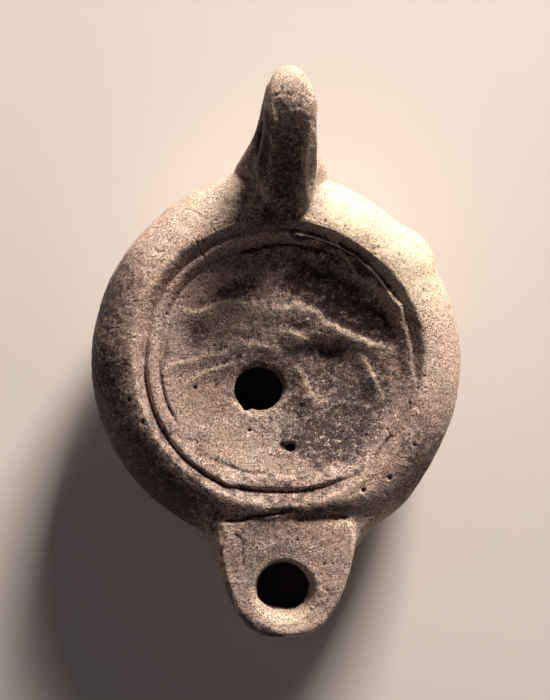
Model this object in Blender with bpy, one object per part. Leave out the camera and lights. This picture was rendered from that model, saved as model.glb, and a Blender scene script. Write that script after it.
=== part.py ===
"""A Roman mould-made oil lamp of fired clay, built in one piece, in metres.

The potter pressed clay into two moulds, an upper and a lower half, and joined them along the parting line.
The upper half carries the discus with its animal in relief, the rings that frame it, the sloping shoulder
and the flat top of the nozzle. The lower half is a plain bowl on a flat foot. The lug of the handle was
moulded with them and pierced. Oil goes in by the filling hole, air by a pinhole, and the wick comes out of
the wick hole.

Sizes are in millimetres, and MM turns them to metres where a point is set. The origin is the middle of the
foot, +Z is up, the nozzle points to -Y and the handle to +Y.
"""

import math

import bmesh
import bpy
import numpy as np
from mathutils import Vector
from mathutils.geometry import delaunay_2d_cdt

MM = 0.001

# Body
BODY_RADIUS = 37.7
PARTING_HEIGHT = 15.5
SHOULDER_HEIGHT = 28.5
SHOULDER_ROUNDING = 10.0  # plan width over which the shoulder turns down to the parting line
FOOT_RADIUS = 18.5
FOOT_HEIGHT = 1.0
FOOT_SPLAY = 0.8
FOOT_RING_RADIUS = 15.6
FOOT_RING_HALF_WIDTH = 0.7
FOOT_RING_DEPTH = 0.6
BOWL_SQUARENESS = 1.9  # exponent of the superellipse that the bowl follows in section
NOZZLE_BOWL_SQUARENESS = 1.5
WALL = 3.4
CEILING_ROUNDING = 7.0
CEILING_SPREAD = 1.25  # share of the discus radius out to which the ceiling climbs with the discus

# The parting line swells out of round here and there: direction in degrees, spread in degrees, rise
SWELLINGS = (
    (97.0, 27.0, 1.5),  # at the root of the handle
    (308.0, 13.0, 0.9),  # where the nozzle joins on the right
    (38.5, 5.2, 1.5),  # a lump of spare clay left on the right of the shoulder
)

# Discus and the rings around it
DISCUS_RADIUS = 23.2
DISCUS_MIDDLE_HEIGHT = 22.9
DISCUS_EDGE_HEIGHT = 25.0
DISCUS_THICKNESS = 3.0
RING_PROFILE = ((24.0, 25.9), (25.2, 26.8), (26.4, 25.7), (27.4, 28.0), (28.8, 28.4))  # radius, height

# Nozzle
NOZZLE_AXIS_X = 1.2  # it stands a little to the right of the middle
NOZZLE_REACH = 55.7
NOZZLE_HALF_WIDTH = 15.9
NOZZLE_SQUARENESS = 3.0  # exponent of the superellipse that the tongue follows in plan
NOZZLE_PARTING_RISE = 2.5
NOZZLE_ROUNDING = 4.6
NOZZLE_FILLET = 3.0
CHORD_AT = 30.4  # how far towards the nozzle the groove lies that cuts the nozzle off from the shoulder
CHORD_HALF_WIDTH = 13.6
CHORD_FADE = 5.0  # length over which the groove dies away at each end
CHORD_WIDTH = 1.5
CHORD_DEPTH = 0.7
CHORD_END_RADIUS = 1.1
PLATE_HEIGHT = 26.7
PLATE_FALL = 0.08  # how much the nozzle's plate drops for each millimetre towards the tip
WICK_HOLE_AT = (0.6, -45.0)
WICK_HOLE_RADIUS = 5.0
WICK_MOUTH_AT = (1.1, -46.2)
WICK_MOUTH_RADIUS = 6.5
WICK_MOUTH_DEPTH = 2.6

# Holes in the discus
FILLING_HOLE_AT = (-4.1, -5.7)
FILLING_HOLE_RADIUS = 4.7
AIR_HOLE_AT = (1.8, -17.4)
AIR_HOLE_RADIUS = 0.9

# Handle, as points (y, z) of its side outline, from its foot by the discus over the top and down the back
HANDLE_OUTLINE = (
    (27.0, 26.8),
    (35.0, 34.6),
    (42.6, 41.4),
    (49.6, 44.7),
    (55.6, 41.4),
    (57.5, 34.2),
    (54.0, 25.8),
    (46.8, 19.4),
    (38.0, 14.0),
    (30.0, 17.0),
)
HANDLE_AXIS_X = 0.9
HANDLE_HOLE_AT = (44.0, 30.0)
HANDLE_HOLE_RADIUS = 4.0
HANDLE_HALF_WIDTH = 4.2
HANDLE_DRAFT = 0.11  # how much wider each side gets for each millimetre below the handle's top
HANDLE_UPRIGHT = (38.0, 52.0)  # between these y the sides lose their draft
HANDLE_FLARE = 3.0  # how much wider each side spreads at the root
HANDLE_ROOT_AT = (34.0, 24.0)
HANDLE_ROOT_SPREAD = 7.0
HANDLE_TAPER = 1.3  # how much narrower each side is at the back
HANDLE_BACK = (49.0, 58.0)
HANDLE_GROOVE_DEPTH = 0.9

# Fineness
COLUMNS = 88
NOZZLE_CROWDING = 2.2  # how much closer together columns lie at the nozzle
SHOULDER_RINGS = 6
WALL_RINGS = 6
LATTICE_STEP = 1.2
CAVITY_COLUMNS = 40
CAVITY_RINGS = 6
HANDLE_SECTIONS = 36
HOLE_SIDES = 24

# The animal that leaps to the left: each limb goes from one point of the discus to another, with its radius
# at both ends and the height of its back above the floor
ANIMAL = {
    "muzzle": ((-19.4, 8.2), (-15.0, 9.4), 1.0, 1.7, 0.9),
    "head": ((-15.5, 9.2), (-12.0, 9.4), 2.0, 2.2, 1.3),
    "neck": ((-12.0, 8.4), (-6.0, 6.6), 2.8, 3.9, 1.3),
    "chest": ((-7.5, 4.8), (-3.0, 4.4), 3.2, 3.4, 1.4),
    "trunk": ((-4.5, 6.6), (4.0, 7.0), 4.0, 3.6, 1.6),
    "far_foreleg": ((-9.5, 3.0), (-14.5, 0.6), 2.0, 1.2, 1.0),
    "far_forepaw": ((-14.5, 0.6), (-22.0, -1.7), 1.2, 0.8, 0.9),
    "near_foreleg": ((-8.5, 0.8), (-12.5, -1.9), 1.8, 1.1, 1.0),
    "near_forepaw": ((-12.5, -1.9), (-18.8, -4.6), 1.1, 0.8, 0.8),
    "rump": ((4.0, 8.4), (9.0, 4.4), 2.6, 2.8, 1.9),
    "far_thigh": ((8.5, 4.6), (15.0, 2.9), 2.6, 1.9, 1.9),
    "far_shank": ((15.0, 2.9), (21.0, 0.4), 1.9, 1.0, 1.5),
    "far_hock": ((15.6, 1.6), (18.6, -6.8), 1.7, 0.9, 1.2),
    "belly_fold": ((-1.0, 5.2), (4.6, 2.8), 1.9, 1.6, 1.7),
    "near_thigh": ((-0.6, 2.6), (3.0, -1.9), 2.2, 1.5, 1.4),
    "near_shank": ((3.0, -1.9), (5.6, -7.6), 1.4, 0.9, 1.2),
    "ground": ((4.6, -9.9), (14.0, -8.7), 1.2, 1.3, 0.8),
    "ground_end": ((14.0, -8.7), (19.6, -11.0), 1.3, 1.0, 0.7),
}


def soft_max(a, b, width):
    """The larger of two values, with the crease between them rounded over that width."""
    lap = np.clip(width - np.abs(a - b), 0, None)
    return np.maximum(a, b) + lap * lap / (4 * width)


def ramp(start, end, value):
    """0 at start and 1 at end, smoothly."""
    share = np.clip((value - start) / (end - start), 0, 1)
    return share * share * (3 - 2 * share)


def quarter_round(share):
    """Height share of a rounded edge, 0 at its foot and 1 from share 1 inwards."""
    return np.sqrt(1 - (1 - np.clip(share, 0, 1)) ** 2)


def turned(angle, centre):
    """The angle from centre, between -pi and pi."""
    return (angle - centre + math.pi) % (2 * math.pi) - math.pi


def body_radius(angle):
    """Distance of the bowl's parting line from the axis, in the direction of angle."""
    radius = np.full(np.shape(angle), BODY_RADIUS)
    for direction, spread, rise in SWELLINGS:
        away = turned(angle, math.radians(direction)) / math.radians(spread)
        radius = radius + rise * np.exp(-(away**2))
    return radius


def tongue_share(x, y):
    """1 on the outline of the nozzle's tongue, a superellipse around the lamp's middle, and less inside."""
    across = np.abs(x - NOZZLE_AXIS_X) / NOZZLE_HALF_WIDTH
    along = np.abs(y) / NOZZLE_REACH
    return (across**NOZZLE_SQUARENESS + along**NOZZLE_SQUARENESS) ** (1 / NOZZLE_SQUARENESS)


def tongue_depth(x, y):
    """Plan distance from the tongue's outline to a point inside it, exact at the outline."""
    share = tongue_share(x, y)
    across = np.abs(x - NOZZLE_AXIS_X) / NOZZLE_HALF_WIDTH
    along = np.abs(y) / NOZZLE_REACH
    power = NOZZLE_SQUARENESS - 1
    steepness = np.hypot(across**power / NOZZLE_HALF_WIDTH, along**power / NOZZLE_REACH)
    return np.clip(1 - share, 0, None) * share**power / np.clip(steepness, 1e-9, None)


def tongue_radius(angle):
    """Distance of the tongue's outline from the axis, found by halving."""
    nearer = np.zeros(np.shape(angle))
    farther = np.where(np.sin(angle) < 0, 2 * NOZZLE_REACH, 0.0)
    for _ in range(40):
        middle = (nearer + farther) / 2
        inside = tongue_share(middle * np.cos(angle), middle * np.sin(angle)) < 1
        nearer = np.where(inside, middle, nearer)
        farther = np.where(inside, farther, middle)
    return nearer


def outline_radius(angle):
    """Distance of the whole parting line from the axis, with the corners between bowl and nozzle rounded."""
    return soft_max(body_radius(angle), tongue_radius(angle), NOZZLE_FILLET)


def parting_height(reach):
    """Height of the parting line, which climbs a little towards the nozzle's tip."""
    return PARTING_HEIGHT + NOZZLE_PARTING_RISE * ramp(BODY_RADIUS, NOZZLE_REACH, reach)


def chord_radius(angle, offset):
    """Distance from the axis of a line along the chord groove, and of the circle that carries it on."""
    towards = np.clip(-np.sin(angle), 0.5, None)
    return np.minimum((CHORD_AT + offset) / towards, math.hypot(CHORD_AT, CHORD_HALF_WIDTH) + offset)


def limb_height(x, y, start, end, start_radius, end_radius, rise):
    """Height of a tapering limb above the floor, rounded like the back of a spoon and soft at its foot."""
    run = np.subtract(end, start)
    share = np.clip(((x - start[0]) * run[0] + (y - start[1]) * run[1]) / run.dot(run), 0, 1)
    gap = np.hypot(x - start[0] - share * run[0], y - start[1] - share * run[1])
    radius = start_radius + (end_radius - start_radius) * share
    return rise * np.clip(1 - (gap / (radius * 1.5)) ** 2, 0, None) ** 1.4


def relief_height(x, y):
    """Height of the animal above the discus floor."""
    return sum(limb_height(x, y, *limb) ** 3 for limb in ANIMAL.values()) ** (1 / 3)


def discus_floor(share):
    """Height of the discus, hollowed like a dish, at a share of its radius."""
    return DISCUS_MIDDLE_HEIGHT + (DISCUS_EDGE_HEIGHT - DISCUS_MIDDLE_HEIGHT) * share**2


def discus_height(x, y):
    """Floor of the discus with the animal on it."""
    share = np.hypot(x, y) / DISCUS_RADIUS
    return discus_floor(share) + relief_height(x, y) * ramp(1.0, 0.93, share)


def plate_height(y):
    """Flat top of the nozzle."""
    return PLATE_HEIGHT + PLATE_FALL * (y + CHORD_AT)


def shoulder_height(x, y):
    """Outside of the upper half from the discus rings out to the parting line."""
    angle = np.arctan2(y, x)
    parting = parting_height(outline_radius(angle))
    inwards = body_radius(angle) - np.hypot(x, y)
    shoulder = (SHOULDER_HEIGHT - parting) * quarter_round(inwards / SHOULDER_ROUNDING)
    past_chord = -y - CHORD_AT
    from_end = CHORD_HALF_WIDTH + CHORD_END_RADIUS - np.abs(x - NOZZLE_AXIS_X)
    on_chord = ramp(0, CHORD_FADE, from_end) * (y < 0)
    shoulder = shoulder * (1 - on_chord * ramp(0, CHORD_WIDTH, past_chord))
    nozzle = (plate_height(y) - parting) * quarter_round(tongue_depth(x, y) / NOZZLE_ROUNDING) * (y < 0)
    groove = CHORD_DEPTH * on_chord * np.clip(1 - np.abs(2 * past_chord / CHORD_WIDTH - 1), 0, 1)
    return parting + np.maximum(shoulder, nozzle) - groove


def bowl_height(share, reach):
    """Height of the bowl for a share of the way out, 0 at the foot. It is straighter under the nozzle."""
    nozzle = ramp(BODY_RADIUS, NOZZLE_REACH, reach)
    squareness = BOWL_SQUARENESS + (NOZZLE_BOWL_SQUARENESS - BOWL_SQUARENESS) * nozzle
    return 1 - (1 - share**squareness) ** (1 / squareness)


def column_angles(count):
    """Directions around the axis, three times as close together at the nozzle as elsewhere."""
    fine = np.linspace(-math.pi / 2, 1.5 * math.pi, 4000)
    width = math.atan2(CHORD_HALF_WIDTH, CHORD_AT)
    closeness = 1 + NOZZLE_CROWDING * np.exp(-((turned(fine, -math.pi / 2) / width) ** 4))
    travelled = np.cumsum(closeness)
    return np.interp(np.arange(count) * travelled[-1] / count, travelled, fine)


def skin_rings():
    """Closed loops of points over the outside, from the edge of the discus down to the foot."""
    angles = column_angles(COLUMNS)
    east, north = np.cos(angles), np.sin(angles)
    reach = outline_radius(angles)
    rings = []
    for radius, height in ((DISCUS_RADIUS, DISCUS_EDGE_HEIGHT),) + RING_PROFILE:
        rings.append((radius * east, radius * north, np.full(COLUMNS, height)))
    chord = [chord_radius(angles, share * CHORD_WIDTH) for share in (0, 0.5, 1)]
    shares = np.sin(math.pi / 2 * np.arange(1, SHOULDER_RINGS + 1) / SHOULDER_RINGS)
    for radius in chord + [chord[-1] + (reach - chord[-1]) * share for share in shares]:
        x, y = radius * east, radius * north
        rings.append((x, y, shoulder_height(x, y)))
    bowl_foot = FOOT_RADIUS + FOOT_SPLAY
    parting = parting_height(reach)
    for step in range(1, WALL_RINGS + 1):
        share = math.cos(math.pi / 2 * step / WALL_RINGS)
        radius = bowl_foot + (reach - bowl_foot) * share
        height = FOOT_HEIGHT + (parting - FOOT_HEIGHT) * bowl_height(share, reach)
        rings.append((radius * east, radius * north, height))
    foot_profile = (
        (FOOT_RADIUS, 0.0),
        (FOOT_RING_RADIUS + FOOT_RING_HALF_WIDTH, 0.0),
        (FOOT_RING_RADIUS, FOOT_RING_DEPTH),
        (FOOT_RING_RADIUS - FOOT_RING_HALF_WIDTH, 0.0),
    )
    for radius, height in foot_profile:
        rings.append((radius * east, radius * north, np.full(COLUMNS, height)))
    return rings


def add_ring(mesh, ring):
    return [mesh.verts.new(Vector(point) * MM) for point in zip(*ring)]


def join_rings(mesh, upper, lower):
    """Quads between two loops of as many points."""
    for left in range(len(upper)):
        right = (left + 1) % len(upper)
        mesh.faces.new((upper[left], lower[left], lower[right], upper[right]))


def fill_discus(mesh, edge):
    """Triangles over an even lattice inside the edge, fine enough to carry the relief."""
    half = LATTICE_STEP / 2
    row_step = LATTICE_STEP * math.sqrt(3) / 2
    rows = int(DISCUS_RADIUS / row_step)
    inside = []
    for row in range(-rows, rows + 1):
        y = row * row_step
        for column in range(-rows - 4, rows + 5):
            x = column * LATTICE_STEP + (row % 2) * half
            if math.hypot(x, y) < DISCUS_RADIUS - 0.6 * LATTICE_STEP:
                inside.append((x, y))
    x, y = np.array(inside).T
    points = add_ring(mesh, (x, y, discus_height(x, y)))
    flat = [Vector((vertex.co.x, vertex.co.y)) / MM for vertex in edge + points]
    rim = [(n, (n + 1) % len(edge)) for n in range(len(edge))]
    made = delaunay_2d_cdt(flat, rim, [], 1, 1e-4)
    vertex_of = [(edge + points)[origins[0]] for origins in made[3]]
    for triangle in made[2]:
        mesh.faces.new([vertex_of[corner] for corner in triangle])


def clay_object(name, mesh, material):
    """Turns the mesh into an object with its faces pointing out."""
    bmesh.ops.recalc_face_normals(mesh, faces=mesh.faces)
    data = bpy.data.meshes.new(name)
    mesh.to_mesh(data)
    mesh.free()
    data.materials.append(material)
    data.shade_smooth()
    data.set_sharp_from_angle(angle=math.radians(35))
    made = bpy.data.objects.new(name, data)
    bpy.context.scene.collection.objects.link(made)
    return made


def make_skin(material):
    """The outside of the body and nozzle, still solid."""
    mesh = bmesh.new()
    loops = [add_ring(mesh, ring) for ring in skin_rings()]
    for upper, lower in zip(loops, loops[1:]):
        join_rings(mesh, upper, lower)
    mesh.faces.new(loops[-1])
    fill_discus(mesh, loops[0])
    return clay_object("lamp", mesh, material)


def cavity_rings():
    """Closed loops of points over the inside, from the ceiling down to the floor."""
    angles = column_angles(CAVITY_COLUMNS)
    reach = outline_radius(angles) - WALL
    parting = parting_height(reach + WALL)
    east, north = np.cos(angles), np.sin(angles)
    rings = []
    for step in range(1, CAVITY_RINGS + 1):
        radius = reach * math.sin(math.pi / 2 * step / CAVITY_RINGS)
        x, y = radius * east, radius * north
        in_nozzle = y < -CHORD_AT
        ceiling = discus_floor(np.clip(radius / DISCUS_RADIUS, 0, CEILING_SPREAD)) - DISCUS_THICKNESS
        ceiling = np.where(in_nozzle, np.minimum(ceiling, plate_height(y) - WALL), ceiling)
        sideways = np.where(in_nozzle, tongue_depth(x, y) - WALL, CEILING_ROUNDING)
        edge = np.minimum(reach - radius, sideways)
        rings.append((x, y, parting + (ceiling - parting) * quarter_round(edge / CEILING_ROUNDING)))
    floor_radius = FOOT_RADIUS - WALL
    for step in range(1, CAVITY_RINGS + 1):
        share = math.cos(math.pi / 2 * step / CAVITY_RINGS)
        radius = floor_radius + (reach - floor_radius) * share
        height = WALL + (parting - WALL) * bowl_height(share, reach + WALL)
        rings.append((radius * east, radius * north, height))
    return rings


def make_cavity():
    """The oil chamber with the channel to the wick hole, as a cutter."""
    mesh = bmesh.new()
    loops = [add_ring(mesh, ring) for ring in cavity_rings()]
    for upper, lower in zip(loops, loops[1:]):
        join_rings(mesh, upper, lower)
    mesh.faces.new(loops[-1])
    top = mesh.verts.new(Vector((0, 0, DISCUS_MIDDLE_HEIGHT - DISCUS_THICKNESS)) * MM)
    for left in range(CAVITY_COLUMNS):
        mesh.faces.new((top, loops[0][left], loops[0][(left + 1) % CAVITY_COLUMNS]))
    return clay_object("oil_chamber", mesh, None)


def closed_curve(points, count):
    """Points spread along a smooth closed curve through the given ones (Catmull-Rom)."""
    corners = np.array(points, float)
    made = []
    for n in range(len(corners)):
        a, b, c, d = (corners[(n + k) % len(corners)] for k in (-1, 0, 1, 2))
        for t in np.linspace(0, 1, 40, endpoint=False):
            bend = (2 * a - 5 * b + 4 * c - d) * t**2 + (3 * b - a - 3 * c + d) * t**3
            made.append(0.5 * (2 * b + (c - a) * t + bend))
    made = np.array(made)
    steps = np.linalg.norm(np.roll(made, -1, axis=0) - made, axis=1)
    travelled = np.concatenate([[0], np.cumsum(steps)])
    made = np.vstack([made, made[:1]])
    wanted = np.linspace(0, travelled[-1], count, endpoint=False)
    return np.stack([np.interp(wanted, travelled, made[:, axis]) for axis in (0, 1)], axis=1)


def handle_half_width(y, z):
    """Half width of the handle's flat sides, which spread towards the shoulder and draw in at the back."""
    top = max(height for _, height in HANDLE_OUTLINE)
    draft = HANDLE_DRAFT * min(top - z, 20.0) * (1 - float(ramp(*HANDLE_UPRIGHT, y)))
    from_root = math.dist((y, z), HANDLE_ROOT_AT) / HANDLE_ROOT_SPREAD
    taper = HANDLE_TAPER * float(ramp(*HANDLE_BACK, y))
    return HANDLE_HALF_WIDTH + draft + HANDLE_FLARE * math.exp(-(from_root**2)) - taper


def strap_section(outer_point):
    """One slice of the handle, from its ribbed outer face round to the wall of its hole, as points."""
    hole = np.array(HANDLE_HOLE_AT)
    outwards = np.array(outer_point) - hole
    reach = np.linalg.norm(outwards)
    outwards = outwards / reach
    upper = outwards[1] > 0
    behind = float(ramp(*HANDLE_BACK, outer_point[0])) if upper else 1.0
    groove = HANDLE_GROOVE_DEPTH * (1 - behind)
    front_face = HANDLE_HALF_WIDTH + 0.5 * float(ramp(40.0, 28.0, outer_point[0]))
    face = front_face + (handle_half_width(*outer_point) - 0.4 - front_face) * behind
    half = [
        (0.0, reach - 0.1 * groove),
        (0.24 * face, reach - 0.25 * groove),
        (0.52 * face, reach - groove - 0.4 * behind),
        (0.80 * face, reach - 0.1 - 1.1 * behind),
        (face, reach - 0.9 - 1.6 * behind),
    ]
    for share in (0.62, 0.18, 0.0):
        out = HANDLE_HOLE_RADIUS + (reach - HANDLE_HOLE_RADIUS) * share
        half.append((handle_half_width(*(hole + outwards * out)) - (0.7 if share == 0 else 0), out))
    loop = half + [(0.0, HANDLE_HOLE_RADIUS)] + [(-x, out) for x, out in reversed(half[1:])]
    return [(HANDLE_AXIS_X + x, *(hole + outwards * out)) for x, out in loop]


def make_handle():
    """The pierced lug: a ring of slices around its hole."""
    mesh = bmesh.new()
    loops = []
    for outer_point in closed_curve(HANDLE_OUTLINE, HANDLE_SECTIONS):
        section = strap_section(outer_point)
        loops.append([mesh.verts.new(Vector(point) * MM) for point in section])
    for upper, lower in zip(loops, loops[1:] + loops[:1]):
        join_rings(mesh, upper, lower)
    return clay_object("handle_lug", mesh, None)


def make_hole(name, levels, sides=HOLE_SIDES):
    """A round cutter through levels, each a centre (x, y), a height and a radius, from the lowest up."""
    mesh = bmesh.new()
    angles = np.arange(sides) * 2 * math.pi / sides
    loops = []
    for (x, y), height, radius in levels:
        ring = (x + radius * np.cos(angles), y + radius * np.sin(angles), np.full(sides, height))
        loops.append(add_ring(mesh, ring))
    for upper, lower in zip(loops, loops[1:]):
        join_rings(mesh, upper, lower)
    mesh.faces.new(loops[0])
    mesh.faces.new(loops[-1])
    return clay_object(name, mesh, None)


def hole_cutters():
    """Everything that pierces or pits the top."""
    above = SHOULDER_HEIGHT + 3
    mouth = plate_height(WICK_MOUTH_AT[1])
    wick = [
        (WICK_HOLE_AT, PARTING_HEIGHT, WICK_HOLE_RADIUS),
        (WICK_HOLE_AT, mouth - WICK_MOUTH_DEPTH, WICK_HOLE_RADIUS),
        (WICK_MOUTH_AT, mouth, WICK_MOUTH_RADIUS),
        (WICK_MOUTH_AT, above, WICK_MOUTH_RADIUS + 2),
    ]
    cutters = [make_hole("wick_hole", wick)]
    for name, at, radius in (
        ("filling_hole", FILLING_HOLE_AT, FILLING_HOLE_RADIUS),
        ("air_hole", AIR_HOLE_AT, AIR_HOLE_RADIUS),
    ):
        cutters.append(make_hole(name, [(at, PARTING_HEIGHT, radius), (at, above, radius)]))
    for name, side in (("chord_end_left", -1), ("chord_end_right", 1)):
        at = (NOZZLE_AXIS_X + side * (CHORD_HALF_WIDTH - 0.6), -CHORD_AT)
        surface = float(shoulder_height(np.array([at[0]]), np.array([at[1]]))[0])
        pit = [(at, surface - 1.0, 0.5 * CHORD_END_RADIUS), (at, surface + 1.0, 1.2 * CHORD_END_RADIUS)]
        cutters.append(make_hole(name, pit, 10))
    return cutters


def combine(body, other, operation):
    """Joins or cuts body with other, which then only guides."""
    change = body.modifiers.new(other.name, "BOOLEAN")
    change.operation = operation
    change.object = other
    change.solver = "EXACT"
    other.hide_render = True
    other.display_type = "WIRE"


def make_clay():
    """Buff fired clay, dry and rough."""
    material = bpy.data.materials.new("fired_clay")
    material.use_nodes = True
    surface = material.node_tree.nodes["Principled BSDF"]
    surface.inputs["Base Color"].default_value = (0.47, 0.35, 0.26, 1.0)
    surface.inputs["Roughness"].default_value = 0.9
    surface.inputs["Metallic"].default_value = 0.0
    return material


def build():
    for old in list(bpy.data.objects):
        bpy.data.objects.remove(old)
    lamp = make_skin(make_clay())
    combine(lamp, make_handle(), "UNION")
    combine(lamp, make_cavity(), "DIFFERENCE")
    for cutter in hole_cutters():
        combine(lamp, cutter, "DIFFERENCE")


build()
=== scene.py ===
# A Roman oil lamp of buff clay, pressed in a mould and fired: a round body with a sunk disc that carries
# an animal in low relief, a short rounded nozzle and a pierced lug handle. All of it is one piece of clay.
import math
import bpy
import numpy as np
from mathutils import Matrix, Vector, noise


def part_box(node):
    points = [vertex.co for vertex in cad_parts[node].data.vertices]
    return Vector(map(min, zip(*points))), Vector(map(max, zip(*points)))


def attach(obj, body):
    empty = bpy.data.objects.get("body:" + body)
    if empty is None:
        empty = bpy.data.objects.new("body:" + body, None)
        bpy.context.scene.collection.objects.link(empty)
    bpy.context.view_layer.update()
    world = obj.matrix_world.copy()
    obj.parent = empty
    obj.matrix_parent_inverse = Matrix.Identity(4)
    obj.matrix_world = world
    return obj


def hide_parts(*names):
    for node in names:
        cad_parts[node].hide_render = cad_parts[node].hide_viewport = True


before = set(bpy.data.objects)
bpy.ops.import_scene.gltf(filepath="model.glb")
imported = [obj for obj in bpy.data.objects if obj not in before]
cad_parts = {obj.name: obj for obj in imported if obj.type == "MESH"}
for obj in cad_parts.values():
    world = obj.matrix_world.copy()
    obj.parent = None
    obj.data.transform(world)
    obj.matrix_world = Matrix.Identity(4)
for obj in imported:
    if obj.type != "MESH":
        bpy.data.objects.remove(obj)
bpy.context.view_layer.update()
mm = 0.001
hair = 0.01  # millimetres: places closer than that are the same
low, high = [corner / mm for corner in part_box("lamp")]

lampForm = {  # millimetres, with the foot on the floor, the nozzle towards -Y and the handle towards +Y
    "bodyRadius": (high.x - low.x) / 2,
    "partingHeight": 15.5,
    "shoulderHeight": 28.5,
    "shoulderRounding": 10.0,
    "swellings": (  # where the outline leaves the round: direction, spread, rise, power of the flanks
        (97.0, 27.0, 1.5, 2),  # the root of the handle
        (306.0, 16.0, 1.5, 2),  # the right of the neck
        (38.2, 7.0, 1.45, 4),  # a lump of spare clay
    ),
    "footRadius": 18.5,
    "footHeight": 1.0,
    "footSplay": 0.8,
    "footGroove": (15.6, 0.7, 0.6),  # radius, half width, depth
    "bowlSquareness": (1.9, 1.5),  # under the body and under the nozzle
    "wall": 3.4,
    "ceilingRounding": 7.0,
    "ceilingSpread": 1.25,  # how far out the ceiling climbs with the disc, in disc radii
    "nozzleAxis": 1.2,
    "nozzleReach": -low.y,
    "nozzleHalfWidth": 16.3,
    "nozzleSquareness": 2.85,  # power of the tongue's outline, 2 for an ellipse
    "nozzlePartingRise": 2.5,  # the parting line climbs so far towards the tip
    "nozzleRounding": (1.2, 2.4, 3.0),  # at the tip, on the left of the neck and on its right
    "neckFrom": (-35.5, -31.0),
    "plateEnds": (-27.5, -30.4),  # where the nozzle's flat top fades out under the shoulder
    "plateEndsBeside": (-29.0, -32.0),
    "webFall": 0.18,  # the shoulder runs on past the chord as a web that fills the neck's corners
    "webRounding": 3.0,
    "webEnds": (-40.0, -36.0),
    "webBeside": (9.5, 12.5),
    "neckBlend": 1.2,
    "neckBlendFrom": (7.0, 13.0),  # away from the nozzle's middle
    "neckBlendUpTo": (0.5, -2.0),  # short of the chord
    "nozzleFillet": (7.0, 9.0),  # left and right
    "plateHeight": 27.4,
    "plateFall": 0.05,
    "chordAt": 30.4,  # how far out the shoulder is cut off by the groove above the nozzle
    "chordHalfWidth": 11.8,
    "chordEnd": 1.1,
    "chordFade": 5.0,
    "chordWidth": 1.5,
    "discRadius": 23.2,
    "discMiddle": 22.7,
    "discEdge": 25.2,
    "discBend": 2.2,  # power of the dish's rise
    "discThickness": 3.0,
    "lipRadius": 28.8,
    "lipDrop": 0.1,
    "discStep": 0.8,  # between the spun rings of the disc
    "bends": 30,  # spun rings of the shoulder and of the bowl
    "outlineSteps": 2881,
    "outlineRounds": 40,  # of halving the distance to the outline
    "columns": 288,
    "hollowColumns": 96,
    "voxel": 0.3,
    "smoothing": (0.5, 3),  # after the remesh: factor, rounds
    "triangles": 185000,
}


# shapes, as functions of places in millimetres
def softStep(start, end, value):
    share = np.clip((value - start) / (end - start), 0, 1)
    return share * share * (3 - 2 * share)


def quarterRound(share):
    return np.sqrt(1 - (1 - np.clip(share, 0, 1)) ** 2)


def turned(angle, centre):
    return (angle - centre + math.pi) % (2 * math.pi) - math.pi


def bodyReach(angle):
    reach = np.full(np.shape(angle), lampForm["bodyRadius"])
    for direction, spread, rise, power in lampForm["swellings"]:
        away = turned(angle, math.radians(direction)) / math.radians(spread)
        reach = reach + rise * np.exp(-(away**power))
    return reach


def nozzleShare(x, y):
    power = lampForm["nozzleSquareness"]
    across = np.abs(x - lampForm["nozzleAxis"]) / lampForm["nozzleHalfWidth"]
    return (across**power + (np.abs(y) / lampForm["nozzleReach"]) ** power) ** (1 / power)


def nozzleDepth(x, y):  # how far inside the nozzle's outline
    power = lampForm["nozzleSquareness"] - 1
    share = nozzleShare(x, y)
    across = (np.abs(x - lampForm["nozzleAxis"]) / lampForm["nozzleHalfWidth"]) ** power
    along = (np.abs(y) / lampForm["nozzleReach"]) ** power
    steepness = np.hypot(across / lampForm["nozzleHalfWidth"], along / lampForm["nozzleReach"])
    return np.clip(1 - share, 0, None) * share**power / np.clip(steepness, 1e-9, None)


def measureOutline():  # the parting line's distance from the axis, for every direction
    angle = np.linspace(-math.pi, math.pi, lampForm["outlineSteps"])
    nearer = np.zeros(len(angle))
    farther = np.where(np.sin(angle) < 0, 2 * lampForm["nozzleReach"], 0.0)
    for _ in range(lampForm["outlineRounds"]):
        middle = (nearer + farther) / 2
        inside = nozzleShare(middle * np.cos(angle), middle * np.sin(angle)) < 1
        nearer = np.where(inside, middle, nearer)
        farther = np.where(inside, farther, middle)
    body = bodyReach(angle)
    fillet = np.where(np.cos(angle) > 0, lampForm["nozzleFillet"][1], lampForm["nozzleFillet"][0])
    lap = np.clip(fillet - np.abs(body - nearer), 0, None)
    return angle, np.maximum(body, nearer) + lap * lap / (4 * fillet)


outlineAngles, outlineReaches = measureOutline()


def outlineAt(angle):
    return np.interp(turned(angle, 0), outlineAngles, outlineReaches)


def partingAt(reach):
    rise = softStep(lampForm["bodyRadius"], lampForm["nozzleReach"], reach)
    return lampForm["partingHeight"] + lampForm["nozzlePartingRise"] * rise


def dishHeight(radius):
    share = radius / lampForm["discRadius"]
    rise = lampForm["discEdge"] - lampForm["discMiddle"]
    return lampForm["discMiddle"] + rise * share ** lampForm["discBend"]


def plateHeight(y):
    return lampForm["plateHeight"] + lampForm["plateFall"] * (y + lampForm["chordAt"])


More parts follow.
